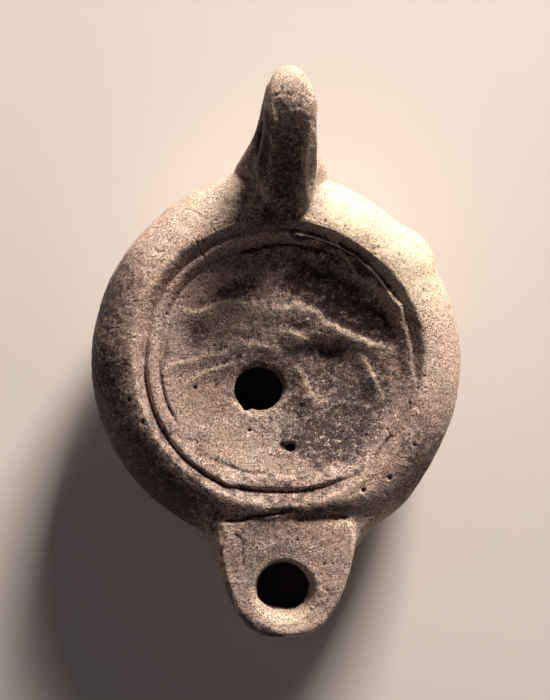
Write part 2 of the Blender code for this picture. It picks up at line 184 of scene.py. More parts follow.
def shoulderHeight(x, y):
    angle = np.arctan2(y, x)
    parting = partingAt(outlineAt(angle))
    inwards = bodyReach(angle) - np.hypot(x, y)
    shoulder = (lampForm["shoulderHeight"] - parting) * quarterRound(inwards / lampForm["shoulderRounding"])
    pastChord = -y - lampForm["chordAt"]
    fromEnd = lampForm["chordHalfWidth"] + lampForm["chordEnd"] - np.abs(x - lampForm["nozzleAxis"])
    onChord = softStep(0, lampForm["chordFade"], fromEnd) * (y < 0)
    shoulder = shoulder * (1 - onChord * softStep(0, lampForm["chordWidth"], pastChord))
    atTip, atLeft, atRight = lampForm["nozzleRounding"]
    rounding = atTip + (np.where(x > 0, atRight, atLeft) - atTip) * softStep(*lampForm["neckFrom"], y)
    plate = (plateHeight(y) - parting) * quarterRound(nozzleDepth(x, y) / rounding)
    beside = softStep(*lampForm["neckBlendFrom"], np.abs(x - lampForm["nozzleAxis"]))
    middle, side = (softStep(*lampForm[name], y) for name in ("plateEnds", "plateEndsBeside"))
    plate = plate * (middle + (side - middle) * beside)
    held = np.maximum(y, -lampForm["chordAt"])
    web = quarterRound((bodyReach(angle) - np.hypot(x, held)) / lampForm["shoulderRounding"])
    web = (lampForm["shoulderHeight"] - parting) * web - lampForm["webFall"] * (held - y)
    web = web * quarterRound((outlineAt(angle) - np.hypot(x, y)) / lampForm["webRounding"])
    web = web * softStep(*lampForm["webEnds"], y)
    web = web * softStep(*lampForm["webBeside"], np.abs(x - lampForm["nozzleAxis"]))
    shoulder = np.maximum(shoulder, web * (y < 0))
    blend = lampForm["neckBlend"] * beside * softStep(*lampForm["neckBlendUpTo"], -pastChord)
    blend = np.clip(blend, 0.001, None)
    lap = np.clip(blend - np.abs(shoulder - plate), 0, None)
    return parting + np.maximum(shoulder, plate) + lap * lap / (4 * blend)


def plainTop(x, y):  # the top before anything is cut into it
    radius = np.hypot(x, y)
    dish = dishHeight(np.minimum(radius, lampForm["discRadius"]))
    climb = softStep(lampForm["discRadius"], lampForm["lipRadius"], radius)
    inner = dish + (lampForm["shoulderHeight"] - lampForm["lipDrop"] - dish) * climb
    return np.where(radius < lampForm["lipRadius"], inner, shoulderHeight(x, y))


def bowlHeight(share, reach):
    under = softStep(lampForm["bodyRadius"], lampForm["nozzleReach"], reach)
    body, nozzle = lampForm["bowlSquareness"]
    squareness = body + (nozzle - body) * under
    return 1 - (1 - share**squareness) ** (1 / squareness)


# handling of objects
def deselectAll():
    if bpy.context.object and bpy.context.object.mode != "OBJECT":
        bpy.ops.object.mode_set(mode="OBJECT")
    bpy.ops.object.select_all(action="DESELECT")


def activate(piece):
    deselectAll()
    piece.select_set(True)
    bpy.context.view_layer.objects.active = piece


def readPoints(piece):
    flat = np.empty(len(piece.data.vertices) * 3)
    piece.data.vertices.foreach_get("co", flat)
    return flat.reshape(-1, 3) / mm


def writePoints(piece, points):
    piece.data.vertices.foreach_set("co", (points * mm).ravel())
    piece.data.update()


def readNormals(piece):
    flat = np.empty(len(piece.data.vertices) * 3)
    piece.data.vertices.foreach_get("normal", flat)
    return flat.reshape(-1, 3)


def applyModifier(piece, kind, **settings):
    modifier = piece.modifiers.new(kind.lower(), kind)
    for name, value in settings.items():
        setattr(modifier, name, value)
    activate(piece)
    bpy.ops.object.modifier_apply(modifier=modifier.name)


def spinProfile(name, profile, columns):
    # a plane is merged to one point, the point is drawn out along the profile, and the line is spun
    deselectAll()
    bpy.ops.mesh.primitive_plane_add(size=mm, location=(profile[0][0] * mm, 0, profile[0][1] * mm))
    piece = bpy.context.object
    piece.name = name
    bpy.ops.object.transform_apply(location=True)
    bpy.ops.object.mode_set(mode="EDIT")
    bpy.ops.mesh.select_all(action="SELECT")
    bpy.ops.mesh.merge(type="CENTER")
    for here, there in zip(profile, profile[1:]):
        step = ((there[0] - here[0]) * mm, 0, (there[1] - here[1]) * mm)
        bpy.ops.mesh.extrude_region_move(TRANSFORM_OT_translate={"value": step})
    bpy.ops.mesh.select_all(action="SELECT")
    bpy.ops.mesh.spin(steps=columns, angle=2 * math.pi, center=(0, 0, 0), axis=(0, 0, 1))
    bpy.ops.mesh.select_all(action="SELECT")
    bpy.ops.mesh.remove_doubles(threshold=0.001 * mm)
    bpy.ops.mesh.normals_make_consistent(inside=False)
    bpy.ops.object.mode_set(mode="OBJECT")
    return piece


# the body, spun and then drawn out into the nozzle
def makeBody():
    radius = lampForm["bodyRadius"]
    flat = radius - lampForm["shoulderRounding"]
    rings = np.arange(0, lampForm["lipRadius"], lampForm["discStep"])
    profile = [(reach, float(plainTop(reach, 0.0))) for reach in rings]
    firstBend = math.asin((lampForm["lipRadius"] - flat) / lampForm["shoulderRounding"])
    rise = lampForm["shoulderHeight"] - lampForm["partingHeight"]
    for bend in np.linspace(firstBend, math.pi / 2, lampForm["bends"]):
        height = lampForm["partingHeight"] + rise * math.cos(bend)
        profile.append((flat + lampForm["shoulderRounding"] * math.sin(bend), height))
    bowlFoot = lampForm["footRadius"] + lampForm["footSplay"]
    drop = lampForm["partingHeight"] - lampForm["footHeight"]
    for bend in np.linspace(math.pi / 2, 0, lampForm["bends"] + 2)[1:]:
        share = math.sin(bend) ** (2 / lampForm["bowlSquareness"][0])
        height = lampForm["footHeight"] + drop * float(bowlHeight(share, radius))
        profile.append((bowlFoot + (radius - bowlFoot) * share, height))
    groove, halfWidth, depth = lampForm["footGroove"]
    profile += [(lampForm["footRadius"], 0.0), (groove + halfWidth, 0.0), (groove, depth)]
    profile += [(groove - halfWidth, 0.0), (groove / 2, 0.0), (0.0, 0.0)]
    body = spinProfile("lampBody", profile, lampForm["columns"])

    points = readPoints(body)
    x, y, z = points.T
    reach = np.hypot(x, y)
    angle = np.arctan2(y, x)
    outline = outlineAt(angle)
    top = (z > lampForm["partingHeight"] - hair) & (reach > lampForm["lipRadius"] - hair)
    topShare = (reach - lampForm["lipRadius"]) / (radius - lampForm["lipRadius"])
    bowl = (z < lampForm["partingHeight"] - hair) & (reach > bowlFoot + hair)
    bowlShare = np.clip((reach - bowlFoot) / (radius - bowlFoot), 0, 1)
    reach = np.where(top, lampForm["lipRadius"] + (outline - lampForm["lipRadius"]) * topShare, reach)
    reach = np.where(bowl, bowlFoot + (outline - bowlFoot) * bowlShare, reach)
    x, y = reach * np.cos(angle), reach * np.sin(angle)
    z = np.where(top, shoulderHeight(x, y), z)
    side = (partingAt(outline) - lampForm["footHeight"]) * bowlHeight(bowlShare, outline)
    z = np.where(bowl, lampForm["footHeight"] + side, z)
    writePoints(body, np.stack([x, y, z], axis=1))
    return body


# the lug handle, a torus drawn onto a ribbed strap around its hole
lug = {
    "torus": (120, 56, 9.0, 4.0),  # segments around and across, radii; only a start
    "outline": ((27.0, 26.6), (34.6, 34.0), (41.4, 40.6), (45.2, 43.2), (51.2, 44.5), (55.8, 41.4),
                (57.5, 34.2), (54.0, 25.8), (46.8, 19.4), (38.0, 14.0), (30.0, 17.0)),  # (y, z), closed
    "loopSteps": 24,  # between two corners of the outline
    "axis": 0.75,
    "hole": (44.0, 30.0),
    "holeRadius": 4.0,
    "holeSides": ((0.62, 0.0), (0.18, 0.0), (0.0, 0.7)),  # share of the strap's depth, drawn in
    "halfWidth": (4.5, 5.2),  # left and right
    "faceHalfWidth": 3.6,
    "faceFoot": ((36.0, 29.5), 1.0),  # widens to the right towards its foot
    "draft": (0.13, 0.07),  # of the left and the right side
    "draftDepth": 20.0,
    "draftFrom": (31.0, 39.0),
    "upright": (38.0, 52.0),
    "flare": 3.1,
    "rootAt": (37.0, 20.0),
    "rootSpread": 5.0,
    "taper": 0.8,
    "rightTaper": 0.7,
    "rightTaperFrom": (46.0, 50.5),
    "back": (49.0, 58.0),
    "backRounding": 0.4,
    "ribsEnd": (43.6, 49.0),
    "ribsSlant": 2.6,
    # across the face: share of its half width, drop where it is ribbed, drop where it is plain
    "rightFace": ((0.0, 0.6, 0.0), (0.3, 0.7, 0.1), (0.5, 1.0, 0.35), (0.66, 0.8, 0.7), (0.8, 0.0, 1.1),
                  (0.92, 0.1, 1.7), (1.0, 0.6, 2.5)),
    "leftFace": ((0.0, 0.6, 0.0), (0.3, 0.7, 0.3), (0.6, 0.9, 0.9), (0.82, 0.75, 1.6), (0.9, 0.4, 2.1),
                 (0.96, 0.45, 2.5), (1.0, 0.7, 3.0)),
}


def smoothLoop(corners, perSide):  # a closed curve that passes through every corner
    corners = np.array(corners, float)
    made = []
    for n in range(len(corners)):
        a, b, c, d = (corners[(n + k) % len(corners)] for k in (-1, 0, 1, 2))
        for t in np.linspace(0, 1, perSide, endpoint=False):
            bend = (2 * a - 5 * b + 4 * c - d) * t**2 + (3 * b - a - 3 * c + d) * t**3
            made.append(0.5 * (2 * b + (c - a) * t + bend))
    return np.array(made)


def lugHalfWidth(y, z, side):
    draft = lug["draft"][1 if side > 0 else 0] * min(high.z - z, lug["draftDepth"])
    draft *= float(softStep(*lug["draftFrom"], y) - softStep(*lug["upright"], y))
    fromRoot = math.dist((y, z), lug["rootAt"]) / lug["rootSpread"]
    narrower = lug["taper"] * float(softStep(*lug["back"], y))
    narrower += lug["rightTaper"] * float(softStep(*lug["rightTaperFrom"], y)) * (side > 0)
    return lug["halfWidth"][1 if side > 0 else 0] + draft + lug["flare"] * math.exp(-(fromRoot**2)) - narrower


def strapHalf(direction, reach, side):  # a slice from the middle of its outer face round to the hole's wall
    hole = np.array(lug["hole"])
    outer = hole + direction * reach
    behind = float(softStep(*lug["back"], outer[0])) if direction[1] > 0 else 1.0
    span, widening = lug["faceFoot"]
    foot = widening * float(softStep(*span, outer[0])) * (side > 0)
    half = []
    for share, ribbedDrop, plainDrop in lug["rightFace"] if side > 0 else lug["leftFace"]:
        fromEnd = outer[0] + lug["ribsSlant"] * side * share
        plain = float(softStep(*lug["ribsEnd"], fromEnd)) if direction[1] > 0 else 1.0
        narrow = lug["faceHalfWidth"] + foot
        front = narrow + (lug["halfWidth"][1 if side > 0 else 0] - narrow) * plain
        face = front + (lugHalfWidth(*outer, side) - lug["backRounding"] - front) * behind
        half.append((share * face, reach - ribbedDrop * (1 - plain) - plainDrop * plain))
    for share, drawnIn in lug["holeSides"]:
        out = lug["holeRadius"] + (reach - lug["holeRadius"]) * share
        half.append((lugHalfWidth(*(hole + direction * out), side) - drawnIn, out))
    half.append((0.0, lug["holeRadius"]))
    return np.array(half)


def makeLug():  # every point of the torus is moved onto the strap
    segments, sides, ringRadius, tube = lug["torus"]
    deselectAll()
    bpy.ops.mesh.primitive_torus_add(
        major_segments=segments, minor_segments=sides, major_radius=ringRadius * mm, minor_radius=tube * mm,
        location=(lug["axis"] * mm, lug["hole"][0] * mm, lug["hole"][1] * mm), rotation=(0, math.pi / 2, 0))
    piece = bpy.context.object
    piece.name = "lugHandle"
    bpy.ops.object.transform_apply(location=True, rotation=True)
    outline = smoothLoop(lug["outline"], lug["loopSteps"]) - np.array(lug["hole"])
    outlineAngle = np.arctan2(outline[:, 1], outline[:, 0])
    order = np.argsort(outlineAngle)
    points = readPoints(piece) - np.array([lug["axis"], *lug["hole"]])
    aroundHole = np.arctan2(points[:, 2], points[:, 1])
    outwards = np.hypot(points[:, 1], points[:, 2]) - ringRadius
    across = np.arctan2(points[:, 0], outwards)
    made = []
    for angle, turn in zip(aroundHole, across):
        reach = np.interp(angle, outlineAngle[order], np.hypot(*outline.T)[order], period=2 * math.pi)
        direction = np.array([math.cos(angle), math.sin(angle)])
        half = strapHalf(direction, reach, 1 if turn >= 0 else -1)
        run = np.concatenate([[0], np.cumsum(np.hypot(*np.diff(half, axis=0).T))])
        at = abs(turn) / math.pi * run[-1]
        x = np.interp(at, run, half[:, 0]) * (1 if turn >= 0 else -1)
        out = np.interp(at, run, half[:, 1])
        made.append((lug["axis"] + x, *(np.array(lug["hole"]) + direction * out)))
    writePoints(piece, np.array(made))
    return piece


# the hollow and the holes
openings = {
    "corners": 120,  # of every round cutter
    "clearance": 3.0,  # from the top of the shoulder to the top of a cutter
    "wickHole": (0.6, -45.0),
    "wickHoleRadii": (5.1, 4.7),
    "wickMouth": (0.9, -46.6),
    "wickMouthRadii": (6.0, 6.5),
    "wickMouthDepth": 2.6,
    "wickMouthFlare": 0.25,
    "fillingHole": (-4.1, -5.7),
    "fillingHoleRadii": (4.9, 4.5),
    "airHole": (2.2, -17.4),
    "airHoleRadii": (1.05, 0.8),
    # ragged edges: degrees from +X, how far the edge has broken outwards
    "raggedFilling": ((210, 0.0), (228, 0.2), (237, 0.75), (243, 0.35), (252, -0.35), (268, -0.25),
                      (290, 0.0)),
    "raggedWick": ((180, 0.0), (205, 0.45), (222, 0.25), (262, -0.25), (300, 0.3), (325, 0.1), (345, 0.0)),
}


def makeHollow():
    # spun as a plain drum, the ceiling above zero and the floor below it, then fitted inside the walls
    wall = lampForm["wall"]
    radius = lampForm["bodyRadius"] - wall
    floorRadius = lampForm["footRadius"] - wall
    bends = np.linspace(0, math.pi / 2, lampForm["bends"] // 2)
    profile = [(radius * math.sin(bend), 1.0 + math.cos(bend)) for bend in bends]
    width = radius - floorRadius
    profile += [(floorRadius + width * math.cos(bend), -1.0 - math.sin(bend)) for bend in bends[1:]]
    profile.append((0.0, -2.0))
    hollow = spinProfile("hollow", profile, lampForm["hollowColumns"])
    points = readPoints(hollow)
    x, y, z = points.T
    angle = np.arctan2(y, x)
    reach = np.hypot(x, y)
    outline = outlineAt(angle)
    inner = outline - wall
    parting = partingAt(outline)
    upper = z > 0
    share = np.clip((reach - floorRadius) / (radius - floorRadius), 0, 1)
    newReach = np.where(upper, reach / radius * inner, floorRadius + (inner - floorRadius) * share)
    onFloor = ~upper & (reach < floorRadius - hair)
    newReach = np.where(onFloor, reach, newReach)
    x, y = newReach * np.cos(angle), newReach * np.sin(angle)
    spread = lampForm["ceilingSpread"] * lampForm["discRadius"]
    ceiling = dishHeight(np.clip(newReach, 0, spread)) - lampForm["discThickness"]
    inNozzle = y < -lampForm["chordAt"]
    ceiling = np.where(inNozzle, np.minimum(ceiling, plateHeight(y) - wall), ceiling)
    sideways = np.where(inNozzle, nozzleDepth(x, y) - wall, lampForm["ceilingRounding"])
    edge = np.minimum(inner - newReach, sideways)
    roof = parting + (ceiling - parting) * quarterRound(edge / lampForm["ceilingRounding"])
    floor = wall + (parting - wall) * bowlHeight(share, outline)
    z = np.where(upper, roof, np.where(onFloor, wall, floor))
    writePoints(hollow, np.stack([x, y, z], axis=1))
    return hollow


def around(table, angle):  # a table of degrees from +X and values
    degrees, values = zip(*table)
    return np.interp(np.degrees(angle), degrees, values, period=360)


def makeCutter(name, at, radii, bottom, top, ragged=((0, 0.0),)):
    deselectAll()
    bpy.ops.mesh.primitive_cylinder_add(
        vertices=openings["corners"], radius=mm, depth=(top - bottom) * mm,
        location=(0, 0, (top + bottom) / 2 * mm))
    cutter = bpy.context.object
    cutter.name = name
    bpy.ops.object.transform_apply(location=True)
    points = readPoints(cutter)
    outwards = points[:, :2] / np.maximum(np.hypot(points[:, 0], points[:, 1]), 0.001)[:, None]
    extra = around(ragged, np.arctan2(points[:, 1], points[:, 0]))
    points[:, :2] = points[:, :2] * radii + outwards * extra[:, None] + at
    writePoints(cutter, points)
    return cutter


def makeWickMouth():
    # a funnel: the upper ring follows the mouth and the lower one the hole
    above = 1.0
    top = float(plateHeight(openings["wickMouth"][1])) + above
    bottom = top - above - openings["wickMouthDepth"]
    cutter = makeCutter("wickMouthCut", (0, 0), (1, 1), bottom, top)
    points = readPoints(cutter)
    upper = points[:, 2] > (top + bottom) / 2
    grown = 1 + above / openings["wickMouthDepth"] * openings["wickMouthFlare"]
    for n, (hole, mouth) in enumerate(zip(openings["wickHole"], openings["wickMouth"])):
        points[:, n] *= np.where(upper, openings["wickMouthRadii"][n] * grown, openings["wickHoleRadii"][n])
        points[:, n] += np.where(upper, mouth, hole)
    writePoints(cutter, points)
    return cutter


def makeClay():
    body = makeBody()
    print("body spun and drawn out to the nozzle")
    handle = makeLug()
    hollow = makeHollow()
    top = lampForm["shoulderHeight"] + openings["clearance"]
    inside = lampForm["partingHeight"]
    cuts = [
        makeCutter("wickCut", openings["wickHole"], openings["wickHoleRadii"], inside, top,
                   openings["raggedWick"]),
        makeWickMouth(),
        makeCutter("fillingCut", openings["fillingHole"], openings["fillingHoleRadii"], inside, top,
                   openings["raggedFilling"]),
        makeCutter("airCut", openings["airHole"], openings["airHoleRadii"], inside, top),
    ]
    applyModifier(body, "BOOLEAN", operation="UNION", object=handle, solver="EXACT")
    for cutter in [hollow] + cuts:
        applyModifier(body, "BOOLEAN", operation="DIFFERENCE", object=cutter, solver="EXACT")
    for used in [handle, hollow] + cuts:
        bpy.data.objects.remove(used)
    print("handle joined, hollow and holes cut")
    applyModifier(body, "REMESH", mode="VOXEL", voxel_size=lampForm["voxel"] * mm, use_smooth_shade=True)
    factor, rounds = lampForm["smoothing"]
    applyModifier(body, "SMOOTH", factor=factor, iterations=rounds)
    print("clay remeshed:", len(body.data.vertices), "points")
    return body


clay = makeClay()
clay.name = "clayLamp"


# what is cut and pressed into the top
ring = {  # tables go around the axis: degrees from +X, value
    "lipAt": ((0, 28.9), (20, 28.5), (30, 28.2), (45, 27.8), (60, 27.6), (75, 27.8), (90, 28.0), (120, 28.6),
              (126, 28.8), (129, 29.1), (165, 29.2), (200, 28.8), (240, 28.6), (270, 28.2), (300, 28.4),
              (330, 28.8)),
    "lipRounding": ((0, 0.5), (40, 0.3), (60, 0.16), (123, 0.14), (128, 0.3), (160, 0.5), (200, 0.3),
                    (250, 0.3), (280, 0.5), (330, 0.6)),
    "crestAt": ((0, 25.8), (18, 25.7), (22, 26.0), (25, 26.3), (28, 25.7), (35, 25.4), (55, 25.5), (85, 25.3),
                (120, 25.8), (150, 26.2), (175, 26.0), (190, 26.2), (225, 26.4), (243, 26.2), (246, 26.4),
                (248.5, 26.3), (251, 25.8), (257, 25.4), (268, 25.0), (276, 25.2), (285, 25.4), (296, 25.8),
                (304, 26.5), (330, 25.5), (350, 26.8), (355, 26.2)),
    "crestHeight": ((0, 26.7), (20, 27.1), (24.5, 27.7), (28, 27.4), (60, 27.6), (105, 27.6), (122, 27.1),
                    (140, 26.5), (165, 26.3), (190, 26.5), (240, 26.8), (290, 26.7), (320, 26.6)),
    "grooveDepth": ((0, 0.45), (22, 0.6), (40, 0.9), (60, 1.2), (63, 1.2), (64.5, 0.35), (66.5, 1.2),
                    (100, 1.2), (125, 0.9), (129, 0.5), (150, 0.4), (166, 0.5), (178, 0.9), (190, 1.2),
                    (246, 1.25), (249, 0.6), (253, 1.05), (290, 0.9), (298, 0.55), (303, 0.2), (306, 0.1),
                    (330, 0.1), (350, 0.15)),
    "innerAt": ((0, 23.6), (60, 23.8), (105, 22.9), (130, 23.9), (160, 24.1), (193, 24.1), (211, 24.0),
                (238, 23.5), (260, 23.0), (290, 23.3)),
    "innerDepth": ((0, 0.0), (40, 0.2), (60, 0.65), (95, 0.8), (112, 0.5), (128, 0.28), (150, 0.28),
                   (165, 0.35), (182, 0.35), (194, 0.6), (206, 0.6), (211, 0.05), (234, 0.05), (245, 0.3),
                   (262, 0.25), (276, 0.1), (290, 0.0)),
    "worn": ((0, 0.35), (8, 0.1), (16, 0.0), (190, 0.0), (288, 0.0), (300, 0.35), (306, 0.7), (314, 0.75),
             (326, 0.9), (346, 1.0), (353, 0.6)),
    "crestFoot": ((0, 2.4), (60, 2.2), (110, 2.2), (150, 2.0), (190, 2.2), (215, 2.6), (270, 2.6)),
    "grooveOut": ((0, 0.85), (30, 0.9), (110, 0.9), (130, 0.85), (180, 0.9), (250, 0.9), (300, 1.0)),
    "innerWidth": 0.4,
    "insideSlope": 1.7,
    "dishPast": 0.6,  # how far the dish runs on past the disc's edge
    "reliefFade": (24.6, 21.6),
    "fineZone": (22.0, 29.6),
    "fineDepth": 0.6,
}
animal = {  # leaping to the left: crest from right to left, steep side upwards, width of both sides, rise
    "rump": (((22.2, 2.4), (19.9, 2.6), (17.9, 3.2), (15.9, 4.1), (13.9, 5.0), (11.9, 5.8), (10.5, 6.6),
              (9.2, 7.5), (8.1, 8.6), (7.0, 9.5), (5.4, 10.2), (3.0, 10.6)), 1.9, 5.6, 1.25),
    "haunchFold": (((6.2, 3.4), (5.2, 4.3), (4.0, 5.0), (2.0, 5.7), (0.0, 6.4)), 0.9, 3.6, 0.45),
    "nearLeg": (((7.6, -8.4), (6.9, -7.2), (6.2, -6.0), (5.6, -4.8), (5.0, -3.5), (4.3, -2.2), (3.4, -1.1),
                 (2.6, -0.4)), 0.7, 5.0, 0.8),
    "farLeg": (((20.4, -7.4), (19.7, -5.6), (19.0, -4.0), (18.4, -2.4), (17.5, -0.7), (16.4, 0.6),
                (15.0, 1.6)), 0.8, 3.2, 0.75),
    "ground": (((20.4, -10.2), (17.9, -9.4), (15.9, -9.0), (13.1, -8.4), (10.4, -8.3), (8.0, -8.6),
                (5.4, -9.2)), 0.9, 3.2, 0.36),
    "brow": (((-5.0, 11.2), (-8.0, 11.6), (-10.8, 11.9), (-12.8, 11.3), (-14.4, 10.5), (-15.6, 9.9),
              (-17.0, 9.6), (-18.2, 9.7), (-19.8, 10.1)), 1.0, 3.6, 0.7),
    "belly": (((1.0, 1.5), (-2.0, 2.2), (-4.6, 2.9), (-7.2, 3.0), (-10.0, 2.6)), 2.4, 4.2, 0.22),
    "farForeleg": (((-9.6, 2.4), (-12.0, 1.4), (-15.0, 0.9), (-18.0, 0.1), (-22.2, -1.2)), 0.8, 2.2, 0.5),
    "nearForeleg": (((-7.8, -0.2), (-10.8, -0.9), (-13.0, -1.5), (-15.4, -2.4), (-18.4, -4.2)),
                    0.7, 2.0, 0.5),
}
crestShape = {
    "turn": 0.5,  # how sharply a crest's steep side gives way to its gentle one past its ends
    "bend": 1.3,
    "fullness": 0.3,
    "endHeight": 0.45,
    "endLength": 0.2,
}
wear = {"reach": 0.28, "turns": 8}  # the relief is the mean of so many places around
masses = {  # the soft swell of the body under those crests: place, radii, rise
    "trunk": ((-3.0, 7.0), (10.0, 5.6), 0.7),
    "hump": ((-0.6, 11.6), (5.5, 3.6), 0.4),
    "haunch": ((7.5, 5.2), (6.5, 3.2), 0.3),
}
hollows = {  # soft dips between the limbs: place, radii, depth
    "underMuzzle": ((-16.4, 5.6), (3.2, 2.6), 0.35),
    "behindCheek": ((-7.4, 4.7), (3.0, 0.9), 0.3),
    "pocket": ((9.4, 1.2), (4.4, 2.2), 0.5),
    "flankFold": ((4.2, 6.7), (2.2, 1.0), 0.4),
    "aboveBack": ((13.4, 9.8), (6.0, 3.4), 0.35),
    "besideHole": ((1.6, -3.4), (1.6, 3.2), 0.25),
    "underLeg": ((10.6, -4.6), (4.6, 2.6), 0.15),
}
strokes = {  # scratches, cracks and creases: points, half width, depth
    "chordLeft": (((-12.0, -31.9), (-7.9, -31.6), (-5.6, -30.8), (-1.0, -30.2), (2.4, -29.8)), 0.32, 0.7),
    "chordRight": (((-1.0, -30.4), (5.0, -31.0), (8.8, -31.1), (12.4, -30.6)), 1.3, 0.4),
    "mouldMark": (((-9.7, -34.1), (-7.9, -35.1), (-7.5, -36.2), (-7.6, -38.2), (-7.4, -40.8)), 0.25, 0.2),
    "rimCrack": (((-17.0, 23.9), (-16.2, 22.4), (-15.4, 20.9), (-14.8, 19.6)), 0.18, 0.5),
    "hairCrack": (((-19.5, 30.6), (-16.9, 29.6), (-15.0, 28.2), (-13.6, 26.4), (-12.6, 24.9)), 0.16, 0.16),
    "nick": (((-25.0, 22.4), (-24.2, 21.3), (-23.4, 21.7)), 0.25, 0.22),
    "lumpCrease": (((27.6, 26.6), (30.0, 23.4), (31.3, 19.6)), 0.5, 0.25),
    "wrinkleUpper": (((-35.2, 8.7), (-33.6, 9.2), (-31.9, 7.6), (-30.2, 7.0), (-28.4, 7.2)), 0.22, 0.09),
    "wrinkleLower": (((-35.6, 6.2), (-33.4, 4.9), (-31.0, 5.2), (-29.4, 4.2)), 0.22, 0.06),
    "rightGroove": (((22.3, -14.6), (20.6, -16.6), (18.3, -19.8)), 0.32, 0.55),
    "rightScratch": (((25.0, -12.4), (26.4, -14.0), (27.4, -16.0)), 0.25, 0.08),
    "rightArc": (((19.6, -22.2), (15.4, -25.4), (12.6, -27.4)), 0.3, 0.1),
    "rootCrease": (((6.4, 39.0), (6.1, 36.1), (6.9, 33.3), (8.7, 34.5)), 0.4, 0.35),
    "rootWrinkleA": (((-4.9, 33.4), (-7.6, 31.9), (-10.2, 31.4)), 0.35, 0.15),
    "rootWrinkleB": (((-4.2, 31.2), (-6.6, 29.9), (-9.6, 29.8)), 0.4, 0.16),
    "capCrack": (((-1.3, 52.4), (-0.9, 51.8), (-1.5, 50.9), (-2.6, 50.5)), 0.2, 0.25),
    "capCrackRight": (((-0.6, 51.2), (0.6, 50.6), (1.6, 50.2)), 0.2, 0.15),
    "ribbonCut": (((2.9, 41.4), (2.8, 38.8), (2.8, 36.6), (2.7, 34.0)), 0.28, 0.12),
}
pits = {  # larger holes in the clay: place, radius, depth
    "chordEndLeft": ((-12.4, -29.7), 0.8, 0.45),
    "chordEndRight": ((12.9, -29.7), 0.7, 0.35),
    "handleFoot": ((-2.4, 29.1), 1.1, 1.2),
    "airHoleCrater": ((0.8, -17.2), 0.85, 0.5),
    "besideAirHole": ((-6.1, -13.9), 0.38, 0.45),
    "leftOfHole": ((-16.9, -5.3), 0.42, 0.45),
    "pebbleSocket": ((-12.8, -5.0), 0.7, 0.2),
    "lowerLeft": ((-18.2, -28.8), 0.7, 0.4),
    "lowerLeftA": ((-19.5, -24.6), 0.4, 0.3),
    "lowerLeftB": ((-30.0, -7.6), 0.4, 0.35),
    "leftA": ((-33.0, -3.8), 0.5, 0.35),
    "leftB": ((-27.4, -12.0), 0.4, 0.3),
    "rightA": ((16.3, -25.6), 0.45, 0.35),
    "rightB": ((21.6, -23.2), 0.45, 0.35),
    "upperRightA": ((17.2, 29.3), 0.6, 0.2),
    "upperRightB": ((23.5, 21.0), 0.35, 0.2),
    "nozzleA": ((-10.5, -32.8), 0.35, 0.2),
    "nozzleB": ((3.2, -35.6), 0.35, 0.15),
    "nozzleC": ((8.6, -40.3), 0.35, 0.18),
    "nozzleD": ((9.3, -45.6), 0.32, 0.16),
    "nozzleE": ((6.0, -49.5), 0.35, 0.16),
}
handleRoot = {  # where the corner is softened
    "middle": (0.9, 36.0, 24.0),
    "reach": (13.0, 8.0, 14.0),
    "radii": (13.0, 8.5, 12.0),
    "firmness": 1.6,
    "smoothing": (0.5, 30),  # factor, rounds
}
carving = {
    "deepest": 0.8,  # below the plain top
    "depth": (0.4, 1.0),  # off the plain top: points that are cut in full, and no longer cut
    "reach": 30.5,
    "facingUp": 0.1,  # least upward part of a normal
    "strokesFacingUp": 0.05,
    "wobble": ((2.2, 0.14, 1), (0.8, 0.07, 3)),  # size, shift sideways, seed
    "strokeWobble": ((0.9, 0.1, 3),),
    "edgeFall": {"fillingHole": 0.45, "wickMouth": 0.25, "airHole": 0.3},
    "edgeWidth": 0.6,
    "strokeStart": (-0.05, 0.12),
    "strokeEnd": (1.05, 0.85),
}


def nearestOnLine(x, y, corners):  # gap to the line, the side (above zero on its right), share of its length
    corners = np.array(corners)
    lengths = np.hypot(*np.diff(corners, axis=0).T)
    travelled = np.concatenate([[0], np.cumsum(lengths)])
    gap = np.full(x.shape, 1e9)
    side, share = np.zeros(x.shape), np.zeros(x.shape)
    for n, length in enumerate(lengths):
        run = (corners[n + 1] - corners[n]) / length
        dx, dy = x - corners[n][0], y - corners[n][1]
        at = np.clip(dx * run[0] + dy * run[1], 0, length)
        away = np.hypot(dx - at * run[0], dy - at * run[1])
        nearer = away < gap
        side = np.where(nearer, dx * run[1] - dy * run[0], side)
        share = np.where(nearer, (travelled[n] + at) / travelled[-1], share)
        gap = np.minimum(gap, away)
    return gap, side, share


def crestHeightAt(x, y, corners, steep, gentle, rise):
    gap, side, share = nearestOnLine(x, y, corners)
    blend = softStep(-crestShape["turn"], crestShape["turn"], side / np.maximum(gap, 0.05))
    width = gentle + (steep - gentle) * blend
    fall = np.clip(gap / width, 0, 1)
    slope = (1 - fall) ** crestShape["bend"] * (1 + crestShape["fullness"] * fall)
    profile = (1 - blend) * slope + blend * (1 - softStep(0, 1, fall))
    length, height = crestShape["endLength"], crestShape["endHeight"]
    ends = height + (1 - height) * softStep(0.0, length, share) * softStep(1.0, 1 - length, share)
    return rise * ends * profile


def reliefAt(x, y):
    raised = sum(crestHeightAt(x, y, *limb) ** 2 for limb in animal.values()) ** 0.5
    for at, radii, height in masses.values():
        raised = raised + height * np.exp(-np.hypot((x - at[0]) / radii[0], (y - at[1]) / radii[1]) ** 3)
    for at, radii, depth in hollows.values():
        raised = raised - depth * np.exp(-np.hypot((x - at[0]) / radii[0], (y - at[1]) / radii[1]) ** 2)
    return raised


def reliefHeight(x, y):  # worn: the mean of places close by
    places = []
    for turn in np.linspace(0, 2 * math.pi, wear["turns"], endpoint=False):
        places.append((x + wear["reach"] * math.cos(turn), y + wear["reach"] * math.sin(turn)))
    places.append((x, y))
    return sum(reliefAt(*place) for place in places) / len(places)


